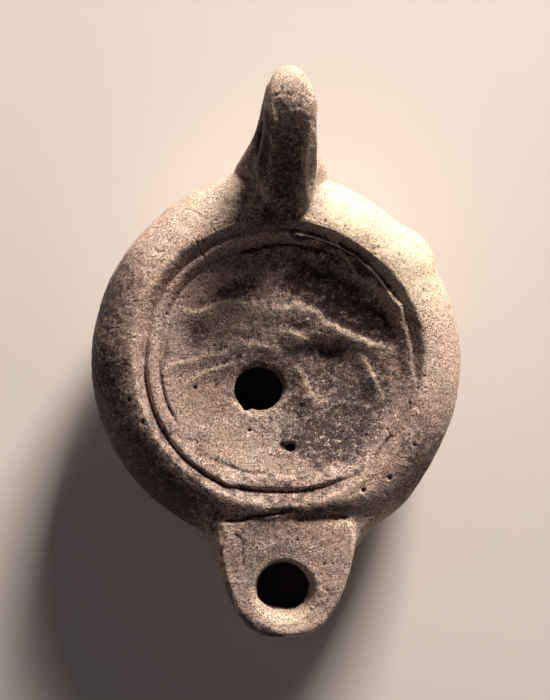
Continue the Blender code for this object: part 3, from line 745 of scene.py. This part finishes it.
def discTop(x, y):  # the sunk disc with its animal, the ridge around it and the inside of the lip
    radius, angle = np.hypot(x, y), np.arctan2(y, x)
    crest, lip, top = (around(ring[name], angle) for name in ("crestAt", "lipAt", "crestHeight"))
    grooveOut = around(ring["grooveOut"], angle)
    groove = crest + grooveOut
    grooveHeight = top - around(ring["grooveDepth"], angle)
    rounding = around(ring["lipRounding"], angle)
    climb = np.clip((radius - groove) / (lip - groove), 0, 1 + rounding)
    climb = climb - np.clip(climb - 1 + rounding, 0, None) ** 2 / (4 * rounding)
    outside = grooveHeight + (shoulderHeight(x, y) - grooveHeight) * climb
    fall = np.clip((radius - crest) / grooveOut, 0, 1)
    between = grooveHeight + (top - grooveHeight) * (0.5 + 0.5 * np.cos(math.pi * fall))
    dish = dishHeight(np.minimum(radius, lampForm["discRadius"] + ring["dishPast"]))
    inwards = np.clip((crest - radius) / around(ring["crestFoot"], angle), 0, 1)
    inside = dish + (top - dish) * (1 - inwards**2) ** ring["insideSlope"]
    fromLine = (around(ring["innerAt"], angle) - radius) / ring["innerWidth"]
    inside = inside - around(ring["innerDepth"], angle) * np.exp(-(fromLine**2))
    height = np.where(radius > groove, outside, np.where(radius > crest, between, inside))
    height = height + (plainTop(x, y) - height) * around(ring["worn"], angle)
    return height + reliefHeight(x, y) * softStep(*ring["reliefFade"], radius)


def strokeShare(x, y, points, halfWidth):  # 1 along a stroke, fading to its sides and ends
    gap, _, share = nearestOnLine(x, y, points)
    along = softStep(*carving["strokeStart"], share) * softStep(*carving["strokeEnd"], share)
    return along * np.exp(-((gap / halfWidth) ** 2))


def wander(points, size, seed):  # smooth random waves of about that size, between -1 and 1
    # every seed reads another part of the noise
    shift = Vector((seed * 7.3, seed * 3.1, -seed * 5.7))
    return np.array([noise.noise(Vector(point) / size + shift) for point in points])


def wobbled(x, y, waves):  # places moved a little to the side
    flat = np.stack([x, y, 0 * x], axis=1)
    for size, shift, seed in waves:
        x = x + shift * wander(flat, size, seed)
        y = y + shift * wander(flat, size, seed + 1)
    return x, y


def holeGap(x, y, at, radii):  # distance out from the edge of an oval hole
    share = np.hypot((x - at[0]) / radii[0], (y - at[1]) / radii[1])
    return (share - 1) * (radii[0] + radii[1]) / 2


def isOutside(points):  # leaves out the oil chamber and the channel into the nozzle
    x, y, z = points.T
    angle = np.arctan2(y, x)
    reach, outline = np.hypot(x, y), outlineAt(angle)
    parting = partingAt(outline)
    squareness = lampForm["bowlSquareness"][0]
    climb = np.clip((z - lampForm["footHeight"]) / (parting - lampForm["footHeight"]), 0, 1)
    share = (1 - (1 - climb) ** squareness) ** (1 / squareness)
    side = lampForm["footRadius"] + (outline - lampForm["footRadius"]) * share
    within = lampForm["wall"] / 2
    underDisc = within + carving["deepest"]
    outwards = (reach - lampForm["footRadius"]) / (outline - lampForm["footRadius"])
    underside = parting * bowlHeight(np.clip(outwards, 0, 1), outline)
    inBowl = (z < parting) & (z > underside + within) & (reach < side - within)
    underTop = (z >= parting) & (z < plainTop(x, y) - underDisc) & (reach < outline - within)
    return ~(inBowl | underTop)


def refineRing(piece):  # finer faces where the ridge and its grooves run
    points = readPoints(piece)
    radius = np.hypot(points[:, 0], points[:, 1])
    nearest, farthest = ring["fineZone"]
    above = points[:, 2] - plainTop(points[:, 0], points[:, 1])
    isRing = (radius > nearest) & (radius < farthest) & (above > -ring["fineDepth"])
    corners = np.empty(len(piece.data.loops), np.int32)
    piece.data.loops.foreach_get("vertex_index", corners)
    starts = np.empty(len(piece.data.polygons), np.int32)
    piece.data.polygons.foreach_get("loop_start", starts)
    activate(piece)
    bpy.ops.object.mode_set(mode="EDIT")
    bpy.ops.mesh.select_mode(type="FACE")
    bpy.ops.mesh.select_all(action="DESELECT")
    bpy.ops.object.mode_set(mode="OBJECT")
    piece.data.polygons.foreach_set("select", np.logical_and.reduceat(isRing[corners], starts))
    bpy.ops.object.mode_set(mode="EDIT")
    bpy.ops.mesh.subdivide(number_cuts=1)
    bpy.ops.object.mode_set(mode="OBJECT")


def easeRoot(piece):  # softens the corner between the handle and the shoulder
    offset = readPoints(piece) - np.array(handleRoot["middle"])
    near = np.nonzero((np.abs(offset) < handleRoot["reach"]).all(axis=1))[0]
    away = ((offset[near] / handleRoot["radii"]) ** 4).sum(axis=1) ** 0.25
    share = np.clip(handleRoot["firmness"] * (1 - away), 0, 1)
    group = piece.vertex_groups.new(name="root")
    for index, amount in zip(near.tolist(), share.tolist()):
        group.add([index], amount, "REPLACE")
    factor, rounds = handleRoot["smoothing"]
    applyModifier(piece, "SMOOTH", factor=factor, iterations=rounds, vertex_group="root")
    piece.vertex_groups.remove(piece.vertex_groups["root"])


def carveTop(piece):
    points, normals = readPoints(piece), readNormals(piece)
    x, y, z = points.T
    away = np.abs(z - plainTop(x, y))
    isTop = (normals[:, 2] > carving["facingUp"]) & (z > lampForm["partingHeight"] + 1)
    chosen = np.nonzero(isTop & (away < carving["depth"][1]))[0]
    x, y = x[chosen], y[chosen]
    carved = discTop(*wobbled(x, y, carving["wobble"]))
    change = np.where(np.hypot(x, y) < carving["reach"], carved - plainTop(x, y), 0)
    for hole, fall in carving["edgeFall"].items():
        gap = np.clip(holeGap(x, y, openings[hole], openings[hole + "Radii"]), 0, None)
        change -= fall * np.exp(-((gap / carving["edgeWidth"]) ** 2))
    change *= 1 - softStep(*carving["depth"], away[chosen])
    points[chosen, 2] += change
    writePoints(piece, points)


def markTop(piece):  # every stroke and pit, on the body and on the handle
    points, normals = readPoints(piece), readNormals(piece)
    isTop = (normals[:, 2] > carving["strokesFacingUp"]) & (points[:, 2] > lampForm["partingHeight"] + 1)
    chosen = np.nonzero(isTop & isOutside(points))[0]
    x, y = wobbled(*points[chosen, :2].T, carving["strokeWobble"])
    change = np.zeros(len(chosen))
    for line, halfWidth, depth in strokes.values():
        change -= depth * strokeShare(x, y, line, halfWidth)
    for at, size, depth in pits.values():
        change -= depth * np.exp(-((np.hypot(x - at[0], y - at[1]) / size) ** 4))
    points[chosen, 2] += change
    writePoints(piece, points)


refineRing(clay)
easeRoot(clay)
carveTop(clay)
markTop(clay)
print("top carved")


# weathering: wear, small holes, the places where dirt and soot have settled, and painted shade and painted
# highlights
weathering = {
    "waves": ((11.0, 0.16), (5.0, 0.11), (2.4, 0.05), (1.2, 0.035), (0.65, 0.025)),  # size, height
    "pinHoles": 260,
    "pinHoleRadius": (0.24, 0.4),
    "pinHoleDepth": 0.15,
    "pinHoleSeed": 12,
    "lowest": 0.3,  # the foot stays flat
    "firstSeed": 5,
    "roughSize": 0.9,
    "roughSeed": 17,
    "rough": {  # rougher places: middle, radii, height
        "handleCap": ((0.9, 48.0, 43.0), (5.5, 5.0, 5.0), 0.16),
        "handleRoot": ((-8.0, 33.0, 28.0), (6.0, 5.0, 6.0), 0.14),
        "nozzleRight": ((7.0, -47.0, 25.0), (5.0, 5.0, 5.0), 0.1),
        "leftEdge": ((-36.0, -2.0, 20.0), (4.0, 12.0, 10.0), 0.14),
    },
}
sootAndShade = {  # grey-violet soot, and painted shade on the handle's flank and face, across the top of the disc, under the muzzle, above the chord and on the shoulder's shaded sides: middle, radii, amount
    # soot with painted shade on the handle's front face, which faces away from the key light
    "handleFace": ((0.3, 38.0, 34.0), (3.7, 12.0, 12.0), 1.15),
    # painted shade on the handle's left flank, which faces away from the key light
    "handleLeftFlank": ((-5.6, 43.0, 34.0), (4.6, 12.0, 17.0), 1.2),
    # painted shade on the handle's left flank beside its face
    "besideFace": ((-4.6, 43.0, 38.0), (2.2, 7.5, 13.0), 1.7),
    "handleFoot": ((-1.4, 29.6, 28.5), (4.6, 2.6, 4.0), 0.9),
    "discVeil": ((5.0, 1.0, 25.0), (21.0, 19.0, 6.0), 1.0),
    # soot with a painted shadow of the lip and the handle across the top of the disc
    "discTop": ((0.0, 20.5, 25.0), (17.0, 4.5, 4.0), 0.6),
    # painted shade under the muzzle
    "underMuzzle": ((-16.2, 5.4, 24.0), (3.2, 2.8, 4.0), 0.95),
    "handleCap": ((0.8, 51.2, 43.0), (4.5, 4.4, 4.0), 0.45),
    "discLowerRight": ((10.5, -15.2, 24.0), (12.5, 7.6, 4.0), 1.2),
    "discRight": ((16.0, -7.4, 24.0), (9.0, 6.6, 4.0), 1.15),
    "plateCorner": ((-12.8, -31.4, 26.0), (2.8, 2.4, 4.0), 0.95),
    # soot with painted shade on the lower left, which faces away from the key light
    "lowLeft": ((-29.0, -17.0, 22.0), (10.0, 9.0, 9.0), 1.25),
    # soot with painted shade on the step down to the nozzle's plate
    "aboveChord": ((3.0, -29.3, 27.0), (13.0, 1.2, 4.0), 0.9),
    "underLeg": ((5.0, -9.0, 24.0), (6.0, 4.5, 4.0), 1.05),
    # soot with painted shade on the upper left edge, which faces away from the key light
    "upperLeftEdge": ((-33.0, 13.0, 22.0), (7.0, 12.0, 9.0), 0.95),
    # soot with painted shade on the left of the shoulder, which faces away from the key light
    "leftShoulder": ((-36.0, -9.0, 20.0), (10.5, 20.0, 14.0), 1.1),
    # soot with painted shade on the lower left of the shoulder, which faces away from the key light
    "lowerLeftShoulder": ((-26.0, -26.0, 20.0), (17.0, 12.0, 14.0), 1.42),
    # painted shade on the lower right of the shoulder
    "rightLowShoulder": ((27.0, -19.0, 22.0), (7.5, 11.0, 10.0), 0.8),
    "nozzleNeckLeft": ((-13.8, -37.5, 21.0), (1.6, 6.0, 8.0), 0.5),
    "nozzleVeil": ((-4.5, -37.0, 26.0), (11.0, 8.0, 4.0), 0.52),
    "wickInside": ((0.6, -45.0, 17.0), (6.0, 6.0, 7.5), 1.0),
    "underside": ((-6.0, -20.0, 3.0), (22.0, 22.0, 7.0), 0.5),
}
sootAndShadeLines = {  # soot, and painted shade along the chord, the filling hole's upper edge, the left inner groove and the ridge's crest on the right, on the top: line, half width, amount
    "nozzleRim": (((-12.6, -41.5), (-11.4, -46.0), (-9.6, -50.0), (-6.2, -53.2), (-0.5, -54.8)), 1.5, 1.0),
    # soot with painted shade in the chord's groove
    "chordLeft": (((-12.5, -31.0), (-9.0, -31.4), (-3.0, -30.4)), 1.0, 0.6),
    # soot with painted shade on the chord's step
    "chordRight": (((3.0, -31.0), (8.0, -31.4), (12.0, -30.8)), 1.1, 0.55),
    # soot with painted shade on the filling hole's upper edge, which slopes away from the light
    "holeEdge": (((-4.6, -0.4), (-1.2, -1.2), (0.8, -3.2), (1.4, -6.2)), 0.9, 0.9),
    # painted shade in the left inner groove
    "innerGroove": (((-21.6, 6.4), (-23.4, 1.0), (-23.8, -4.6), (-22.4, -9.4)), 0.6, 0.5),
    # painted shade that dims the lit crest of the ridge on the right
    "crestRight": (((2.2, 25.4), (8.7, 23.9), (14.6, 20.9), (19.4, 16.6), (21.0, 14.6)), 0.9, 1.25),
    "crestLow": (((24.4, 9.4), (24.9, 6.7), (25.9, 2.2)), 0.7, 0.5),
    "ribGroove": (((2.2, 28.0), (2.4, 42.0)), 0.4, 1.0),
    "lipBottom": (((-12.4, -24.3), (-7.1, -26.4), (-1.0, -27.3), (5.7, -26.7), (12.0, -24.5)), 1.7, 0.82),
    "ridgeBottom": (((-7.5, -23.0), (-2.1, -24.1), (3.4, -24.0), (9.1, -22.4)), 1.5, 0.72),
    "lipLowRight": (((13.8, -23.8), (20.3, -18.5), (24.9, -11.6)), 2.2, 0.5),
    "plateLeft": (((-13.0, -30.6), (-12.2, -33.0), (-11.4, -35.6), (-11.7, -38.4)), 0.5, 0.9),
    "lipRight": (((26.6, 9.0), (27.8, 3.0), (27.6, -3.0), (26.0, -9.0)), 1.4, 0.5),
}
flecks = {  # pale grains on the soot: middle, radii, amount
    "discLowerRight": ((10.5, -15.0, 24.0), (11.0, 8.0, 4.0), 0.9),
    "discRight": ((14.0, -5.0, 24.0), (9.0, 8.0, 4.0), 0.5),
    "handleFace": ((0.6, 36.0, 32.0), (4.0, 12.0, 12.0), 0.7),
    "lowerLeft": ((-26.0, -24.0, 22.0), (16.0, 16.0, 10.0), 0.35),
}
stainsAndShade = {  # red-brown stains on the disc, and painted shade under the ridge at the top: line, half width, amount
    "aboveRump": (((4.4, 15.6), (9.0, 15.6), (12.6, 12.8), (15.6, 9.6), (19.4, 6.4)), 4.8, 1.0),
    "atRump": (((8.4, 10.6), (12.6, 7.6), (17.6, 4.8)), 2.0, 1.1),
    "aboveHead": (((-5.6, 15.0), (-9.4, 14.6), (-12.0, 13.2)), 1.4, 0.75),
    # stain with painted shade on the ridge's inner slope, which faces away from the light
    "underRidge": (((14.4, 18.4), (11.7, 20.3), (8.0, 22.0), (4.1, 23.0), (0.0, 23.2), (-4.4, 22.6),
                    (-7.6, 21.6)), 0.75, 1.0),
    "brow": (((-11.0, 12.6), (-14.0, 11.6), (-17.0, 11.2)), 0.5, 0.6),
}
earthAndShade = {  # red-brown earth, and painted shade in the pocket under the haunch, in the flank's fold, under the trunk and beside the handle's left root: middle, radii, amount
    # painted shade in the pocket under the haunch
    "pocket": ((9.6, 1.0, 24.0), (4.4, 1.9, 4.0), 0.8),
    # painted shade in the fold of the flank
    "flankFold": ((4.6, 6.6, 24.0), (2.2, 1.2, 4.0), 0.5),
    # painted shade under the trunk
    "chest": ((-7.0, 4.7, 24.0), (3.4, 1.2, 4.0), 0.5),
    "aboveHandleFoot": ((-3.0, 28.0, 28.0), (9.0, 1.8, 4.0), 0.6),
    "leftEdge": ((-35.0, -2.0, 22.0), (3.0, 7.0, 8.0), 0.7),
    "handleSide": ((-6.0, 41.0, 36.0), (4.0, 9.0, 12.0), 0.5),
    # earth with the painted soft edge of the handle's shadow beside its left root
    "handleLeftRoot": ((-8.5, 31.0, 28.0), (4.5, 4.5, 5.0), 0.5),
    "handleRightRoot": ((7.0, 33.0, 28.0), (2.6, 5.0, 5.0), 0.38),
}
paintedHighlights = {  # painted highlights where the key light falls on the upper shoulder, the handle's cap and ribbon edge, the rump and the nozzle's tip: middle, radii, amount
    "upperRightShoulder": ((26.0, 23.0, 27.0), (12.0, 14.0, 12.0), 0.85),
    "upperShoulder": ((14.0, 31.0, 27.0), (8.0, 7.0, 9.0), 1.1),
    "upperLeftShoulder": ((-17.0, 31.0, 26.0), (10.0, 5.0, 8.0), 0.35),
    "handleCap": ((1.4, 54.6, 43.0), (5.0, 2.4, 4.0), 0.3),
    "rump": ((12.0, 5.4, 25.0), (6.0, 2.0, 4.0), 0.35),
    "ribbonEdge": ((4.6, 36.0, 34.0), (0.9, 9.0, 10.0), 0.7),
    "nozzleTip": ((2.0, -52.5, 23.0), (6.0, 2.6, 6.0), 0.7),
}
settling = {  # how deposits lie on the surface
    "smoothing": 0.6,
    "rounds": (3, 24),  # of smoothing, to find fine and broad hollows
    "drift": (3.2, 1.2, 21),  # waves in their edges: size, shift, seed
    "blobEdge": 1.4,
    "lineEdge": 2.6,
    "fineHollow": (0.01, 0.07, 0.55),  # from, to, amount of earth and painted shade in the fine hollows
    # depth, amount of earth and painted shade in the broad hollows
    "broadHollow": (0.28, 0.6),
    "fineRise": (0.06, 0.4),  # to, amount rubbed
    "broadRise": (0.3, 0.3),
    "raised": (0.25, 0.75),  # height of the relief on which less settles
    "lessSoot": 0.3,
    "lessEarth": 0.8,
    "lessStain": 0.9,
    "rubbed": 0.12,
    "inside": 2.0,  # soot in the chamber and the channel
}


def neighbourMean(values, edges, count):
    total = np.zeros_like(values)
    for column in range(values.shape[1]):
        total[:, column] = np.bincount(edges[:, 0], values[edges[:, 1], column], len(values))
        total[:, column] += np.bincount(edges[:, 1], values[edges[:, 0], column], len(values))
    return total / count[:, None]


def hollowness(piece, rounds):  # millimetres below the surface around, smoothed for so many rounds
    points, normals = readPoints(piece), readNormals(piece)
    edges = np.empty(len(piece.data.edges) * 2, np.int32)
    piece.data.edges.foreach_get("vertices", edges)
    edges = edges.reshape(-1, 2)
    count = np.bincount(edges.ravel(), minlength=len(points)).astype(float)
    found = []
    smooth = points.copy()
    for n in range(max(rounds)):
        moved = neighbourMean(smooth, edges, count)
        smooth = (1 - settling["smoothing"]) * smooth + settling["smoothing"] * moved
        if n + 1 in rounds:
            found.append(((smooth - points) * normals).sum(axis=1))
    return found


def weatherSurface(piece):
    points, normals = readPoints(piece), readNormals(piece)
    outside = np.nonzero(isOutside(points) & (points[:, 2] > weathering["lowest"]))[0]
    shift = np.zeros(len(outside))
    for seed, (size, height) in enumerate(weathering["waves"]):
        shift += height * wander(points[outside], size, seed + weathering["firstSeed"])
    roughness = wander(points[outside], weathering["roughSize"], weathering["roughSeed"])
    shift += blobSum(points[outside], weathering["rough"]) * roughness
    draw = np.random.default_rng(weathering["pinHoleSeed"])
    seeds = outside[draw.integers(0, len(outside), weathering["pinHoles"])]
    sizes = draw.uniform(*weathering["pinHoleRadius"], len(seeds))
    for seed, size in zip(seeds, sizes):
        away = np.linalg.norm(points[outside] - points[seed], axis=1)
        shift -= weathering["pinHoleDepth"] * np.exp(-((away / size) ** 4))
    points[outside] += normals[outside] * shift[:, None]
    writePoints(piece, points)


def blobSum(points, blobs):
    amount = np.zeros(len(points))
    for middle, radii, strength in blobs.values():
        away = (((points - np.array(middle)) / np.array(radii)) ** 2).sum(axis=1)
        amount = np.maximum(amount, strength * np.exp(-(away ** settling["blobEdge"])))
    return amount


def lineSum(points, lines):
    amount = np.zeros(len(points))
    for line, halfWidth, strength in lines.values():
        gap = nearestOnLine(points[:, 0], points[:, 1], line)[0]
        amount = np.maximum(amount, strength * np.exp(-((gap / halfWidth) ** settling["lineEdge"])))
    return amount


def markDeposits(piece):  # red: soot and painted shade, green: earth and painted shade in hollows and under forms, blue: painted highlights and rubbed wear, alpha: pale grains
    points = readPoints(piece)
    near, wide = hollowness(piece, settling["rounds"])
    size, drift, seed = settling["drift"]
    moved = points + wander(points, size, seed)[:, None] * drift
    x, y, z = points.T
    outside = isOutside(points)
    isTop = z > lampForm["discMiddle"] - 1
    onDisc = isTop & (np.hypot(x, y) < lampForm["discRadius"])
    raised = np.where(onDisc, softStep(*settling["raised"], reliefHeight(x, y)), 0)

    dark = blobSum(moved, sootAndShade) * (1 - settling["lessSoot"] * raised)
    dark = np.where(isTop, np.maximum(dark, lineSum(moved, sootAndShadeLines)), dark)
    dark = np.where(outside, dark, settling["inside"])

    # earth and painted shade settle in fine and broad hollows
    start, end, fine = settling["fineHollow"]
    depth, broad = settling["broadHollow"]
    earthAndHollowShade = fine * np.clip((near - start) / (end - start), 0, 1) + broad * np.clip(wide / depth, 0, 1)
    earthAndHollowShade = np.maximum(earthAndHollowShade, blobSum(moved, earthAndShade) * (1 - settling["lessEarth"] * raised))
    earthAndHollowShade = np.maximum(earthAndHollowShade, lineSum(moved, stainsAndShade) * onDisc * (1 - settling["lessStain"] * raised))

    rubbed = settling["rubbed"] * raised
    for hollow, (height, amount) in ((near, settling["fineRise"]), (wide, settling["broadRise"])):
        rubbed = rubbed + amount * np.clip(-hollow / height, 0, 1)
    # painted highlights, and rubbed wear on rises and raised relief
    pale = np.maximum(blobSum(moved, paintedHighlights), rubbed)
    light = np.where(outside, blobSum(moved, flecks), 0)
    colours = np.stack([dark, earthAndHollowShade, pale, light], axis=1)
    deposits = piece.data.color_attributes.new("deposits", "FLOAT_COLOR", "POINT")
    deposits.data.foreach_set("color", np.clip(colours, 0, 2).astype(np.float32).ravel())


weatherSurface(clay)
print("surface weathered")
markDeposits(clay)
sides = sum(len(polygon.vertices) - 2 for polygon in clay.data.polygons)
applyModifier(clay, "DECIMATE", ratio=lampForm["triangles"] / sides)
print("clay thinned to", len(clay.data.polygons), "triangles")
activate(clay)
bpy.ops.object.shade_smooth()
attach(clay, "root")
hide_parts("lamp")


# the finish
def linear(hexColour):
    channels = [int(hexColour[n:n + 2], 16) / 255 for n in (1, 3, 5)]
    return [c / 12.92 if c <= 0.04045 else ((c + 0.055) / 1.055) ** 2.4 for c in channels] + [1.0]


# inputs stand in the order of the sockets or by name, each a socket to link, a colour or a number
def addNode(tree, kind, inputs, **settings):
    node = tree.nodes.new("ShaderNode" + kind)
    for name, value in settings.items():
        setattr(node, name, value)
    for name, value in inputs.items() if isinstance(inputs, dict) else enumerate(inputs):
        if isinstance(value, bpy.types.NodeSocket):
            tree.links.new(value, node.inputs[name])
        else:
            node.inputs[name].default_value = linear(value) if isinstance(value, str) else value
    return node.outputs


clayFinish = {
    "buff": "#b3a299",
    "pink": "#b69c8e",
    # cream: rubbed wear and painted highlights
    "cream": "#d8ccae",
    "grit": "#dcd3c2",
    "sootAndShade": "#2a191f",
    "earthAndShade": "#2a0b05",
    "pinHole": "#3a2c26",
    # Size in millimetres, detail, roughness. The temper is sand of about 0.2 mm, drawn at twice that to show.
    "patterns": {
        "sand": (0.38, 2.0, 1.0),
        "grit": (0.5, 2.0, 0.6),
        "whiteGrains": (1.1, 4.0, 0.9),
        "mottle": (1.6, 5.0, 0.9),
        "lumps": (2.4, 4.0, 0.62),
        "evenness": (2.6, 2.0, 0.6),
        "grain": (3.2, 4.0, 1.0),
        "patches": (9.0, 3.0, 0.6),
    },
    "pinHoleSpacing": 1.15,
    # how a pattern or an amount becomes a share: from low, from high, to start, to end
    "patchShare": (0.35, 0.65, 0.0, 1.0),
    "creamShare": (0.25, 0.6, 0.3, 1.0),
    "gritShare": (0.62, 0.75, 0.0, 0.4),
    "whiteShare": (0.53, 0.6, 0.0, 0.6),
    "earthAndShadeShare": (0.15, 0.95, 0.0, 0.96),
    "sootAndShadeShare": (0.15, 1.0, 0.0, 0.92),
    "brokenShare": (0.0, 0.6, 0.35, 1.0),  # a thick deposit is more broken up than a thin one
    "brokenness": 3.8,
    "pinHoleRadius": (0.45, 1.0, 0.0, 0.22),
    "pinHoleShare": (-0.08, 0.02, 0.9, 0.0),
    "sandEvenness": (0.35, 0.65, 0.5, 1.3),
    "sandUnderPale": (0.2, 1.0, 1.0, 0.35),
    "sandShade": 7.0,
    "grainShade": 0.9,
    "darkestShade": 0.2,
    "sandHeight": 0.05,
    "pinHoleDepth": 0.2,
    "bumpHeight": 0.34,
    "roughness": 0.92,
    "ior": 1.5,
}


def firedClay():
    # coarse buff clay with sand temper, pressed and fired: dry, matt, speckled and full of pin holes
    look = clayFinish
    material = bpy.data.materials.new("firedClay")
    material.use_nodes = True
    tree = material.node_tree
    surface = tree.nodes["Principled BSDF"].inputs
    place = addNode(tree, "TexCoord", ())["Object"]
    noises = {}
    for name, (size, detail, roughness) in look["patterns"].items():
        inputs = {"Vector": place, "Scale": 1 / (size * mm), "Detail": detail, "Roughness": roughness}
        noises[name] = addNode(tree, "TexNoise", inputs)[0]
    deposits = addNode(tree, "VertexColor", (), layer_name="deposits")
    sootAndShade, earthAndShade, pale = addNode(tree, "SeparateColor", (deposits["Color"],))

    # layers of colour over the buff clay, each with its share of the surface
    patches = addNode(tree, "MapRange", (noises["patches"], *look["patchShare"]))[0]
    mottled = addNode(tree, "MapRange", (noises["mottle"], *look["creamShare"]))[0]
    # the cream layer carries rubbed wear and painted highlights
    creamWearAndHighlight = addNode(tree, "Math", (pale, mottled), operation="MULTIPLY")[0]
    gritty = addNode(tree, "MapRange", (noises["grit"], *look["gritShare"]))[0]
    layers = [(patches, "pink"), (creamWearAndHighlight, "cream"), (gritty, "grit")]
    centred = addNode(tree, "Math", (noises["mottle"], 0.5), operation="SUBTRACT")[0]
    breaks = addNode(tree, "Math", (centred, look["brokenness"]), operation="MULTIPLY")[0]
    # the earth and soot layers carry painted shade as well
    for name, amount in (("earthAndShade", earthAndShade), ("sootAndShade", sootAndShade)):
        broken = addNode(tree, "MapRange", (amount, *look["brokenShare"]))[0]
        edge = addNode(tree, "Math", (breaks, broken), operation="MULTIPLY")[0]
        settled = addNode(tree, "Math", (amount, edge), operation="ADD")[0]
        layers.append((addNode(tree, "MapRange", (settled, *look[name + "Share"]))[0], name))
    grains = addNode(tree, "MapRange", (noises["whiteGrains"], *look["whiteShare"]))[0]
    grains = addNode(tree, "Math", (grains, deposits["Alpha"]), operation="MULTIPLY")[0]
    cells = addNode(tree, "TexVoronoi", {"Vector": place, "Scale": 1 / (look["pinHoleSpacing"] * mm)})
    chance = addNode(tree, "SeparateColor", (cells["Color"],))[0]
    holeSize = addNode(tree, "MapRange", (chance, *look["pinHoleRadius"]))[0]
    fromHole = addNode(tree, "Math", (cells["Distance"], holeSize), operation="SUBTRACT")[0]
    holes = addNode(tree, "MapRange", (fromHole, *look["pinHoleShare"]))[0]
    layers += [(grains, "grit"), (holes, "pinHole")]
    colour = look["buff"]
    for share, tint in layers:
        colour = addNode(tree, "Mix", {0: share, 6: colour, 7: look[tint]}, data_type="RGBA")[2]

    # sand and pressed lumps shade it grain by grain
    even = addNode(tree, "MapRange", (noises["evenness"], *look["sandEvenness"]))[0]
    underPale = addNode(tree, "MapRange", (pale, *look["sandUnderPale"]))[0]
    sandiness = addNode(tree, "Math", (even, underPale), operation="MULTIPLY")[0]
    sandiness = addNode(tree, "Math", (sandiness, look["sandShade"]), operation="MULTIPLY")[0]
    brightness = 1.0
    for name, strength in (("grain", look["grainShade"]), ("sand", sandiness)):
        centred = addNode(tree, "Math", (noises[name], 0.5), operation="SUBTRACT")[0]
        brightness = addNode(tree, "Math", (centred, strength, brightness), operation="MULTIPLY_ADD")[0]
    brightness = addNode(tree, "Math", (brightness, look["darkestShade"]), operation="MAXIMUM")[0]
    shaded = addNode(tree, "VectorMath", {0: colour, "Scale": brightness}, operation="SCALE")[0]
    tree.links.new(shaded, surface["Base Color"])

    height = noises["lumps"]
    for relief, share in ((holes, -look["pinHoleDepth"]), (noises["sand"], look["sandHeight"])):
        height = addNode(tree, "Math", (relief, share, height), operation="MULTIPLY_ADD")[0]
    bump = addNode(tree, "Bump", {"Strength": 1.0, "Distance": look["bumpHeight"] * mm, "Height": height})[0]
    tree.links.new(bump, surface["Normal"])
    surface["Roughness"].default_value = look["roughness"]
    surface["IOR"].default_value = look["ior"]
    return material


clay.data.materials.clear()
clay.data.materials.append(firedClay())
print("clay finished")

# floor, light and camera
studio = {
    "floorSize": 3.0,
    "floorColour": "#dedbd6",
    "floorRoughness": 0.9,
    "lights": {  # direction it comes from, metres away, metres across, watts, colour
        "key": ((0.322, 0.886, 0.334), 1.2, 0.36, 39.0, "#fff0e4"),
        "fill": ((-0.3, -0.2, 1.0), 1.0, 0.8, 0.7, "#ffe2ea"),
    },
    "ambient": 0.02,
    "lens": 100,
    "aim": (-0.68, 2.2, 20.0),  # millimetres
    "distance": 393.0,
    "lean": 4.0,  # degrees from straight above, towards -X
}


def makeFloor():
    deselectAll()
    bpy.ops.mesh.primitive_plane_add(size=studio["floorSize"], location=(0, 0, 0))
    floor = bpy.context.object
    floor.name = "floor"
    material = bpy.data.materials.new("paleBoard")
    material.use_nodes = True
    surface = material.node_tree.nodes["Principled BSDF"].inputs
    surface["Base Color"].default_value = linear(studio["floorColour"])
    surface["Roughness"].default_value = studio["floorRoughness"]
    floor.data.materials.append(material)


def addLight(name, towards, distance, size, power, colour):
    data = bpy.data.lights.new(name, "AREA")
    data.size = size
    data.energy = power
    data.color = linear(colour)[:3]
    light = bpy.data.objects.new(name, data)
    bpy.context.scene.collection.objects.link(light)
    direction = Vector(towards).normalized()
    light.location = direction * distance
    light.rotation_euler = direction.to_track_quat("Z", "Y").to_euler()


def makeWorld():
    world = bpy.data.worlds.new("studio")
    world.use_nodes = True
    background = world.node_tree.nodes["Background"].inputs
    background["Color"].default_value = (1, 1, 1, 1)
    background["Strength"].default_value = studio["ambient"]
    bpy.context.scene.world = world
    bpy.context.scene.view_settings.view_transform = "Standard"


def makeCamera():
    data = bpy.data.cameras.new("camera")
    data.lens = studio["lens"]
    camera = bpy.data.objects.new("camera", data)
    bpy.context.scene.collection.objects.link(camera)
    lean = math.radians(studio["lean"])
    away = Vector((-math.sin(lean), 0, math.cos(lean))) * studio["distance"]
    camera.location = (Vector(studio["aim"]) + away) * mm
    camera.rotation_euler = (0, -lean, 0)
    bpy.context.scene.camera = camera


makeFloor()
for name, light in studio["lights"].items():
    addLight(name, *light)
makeWorld()
makeCamera()
print("floor, lights and camera set")
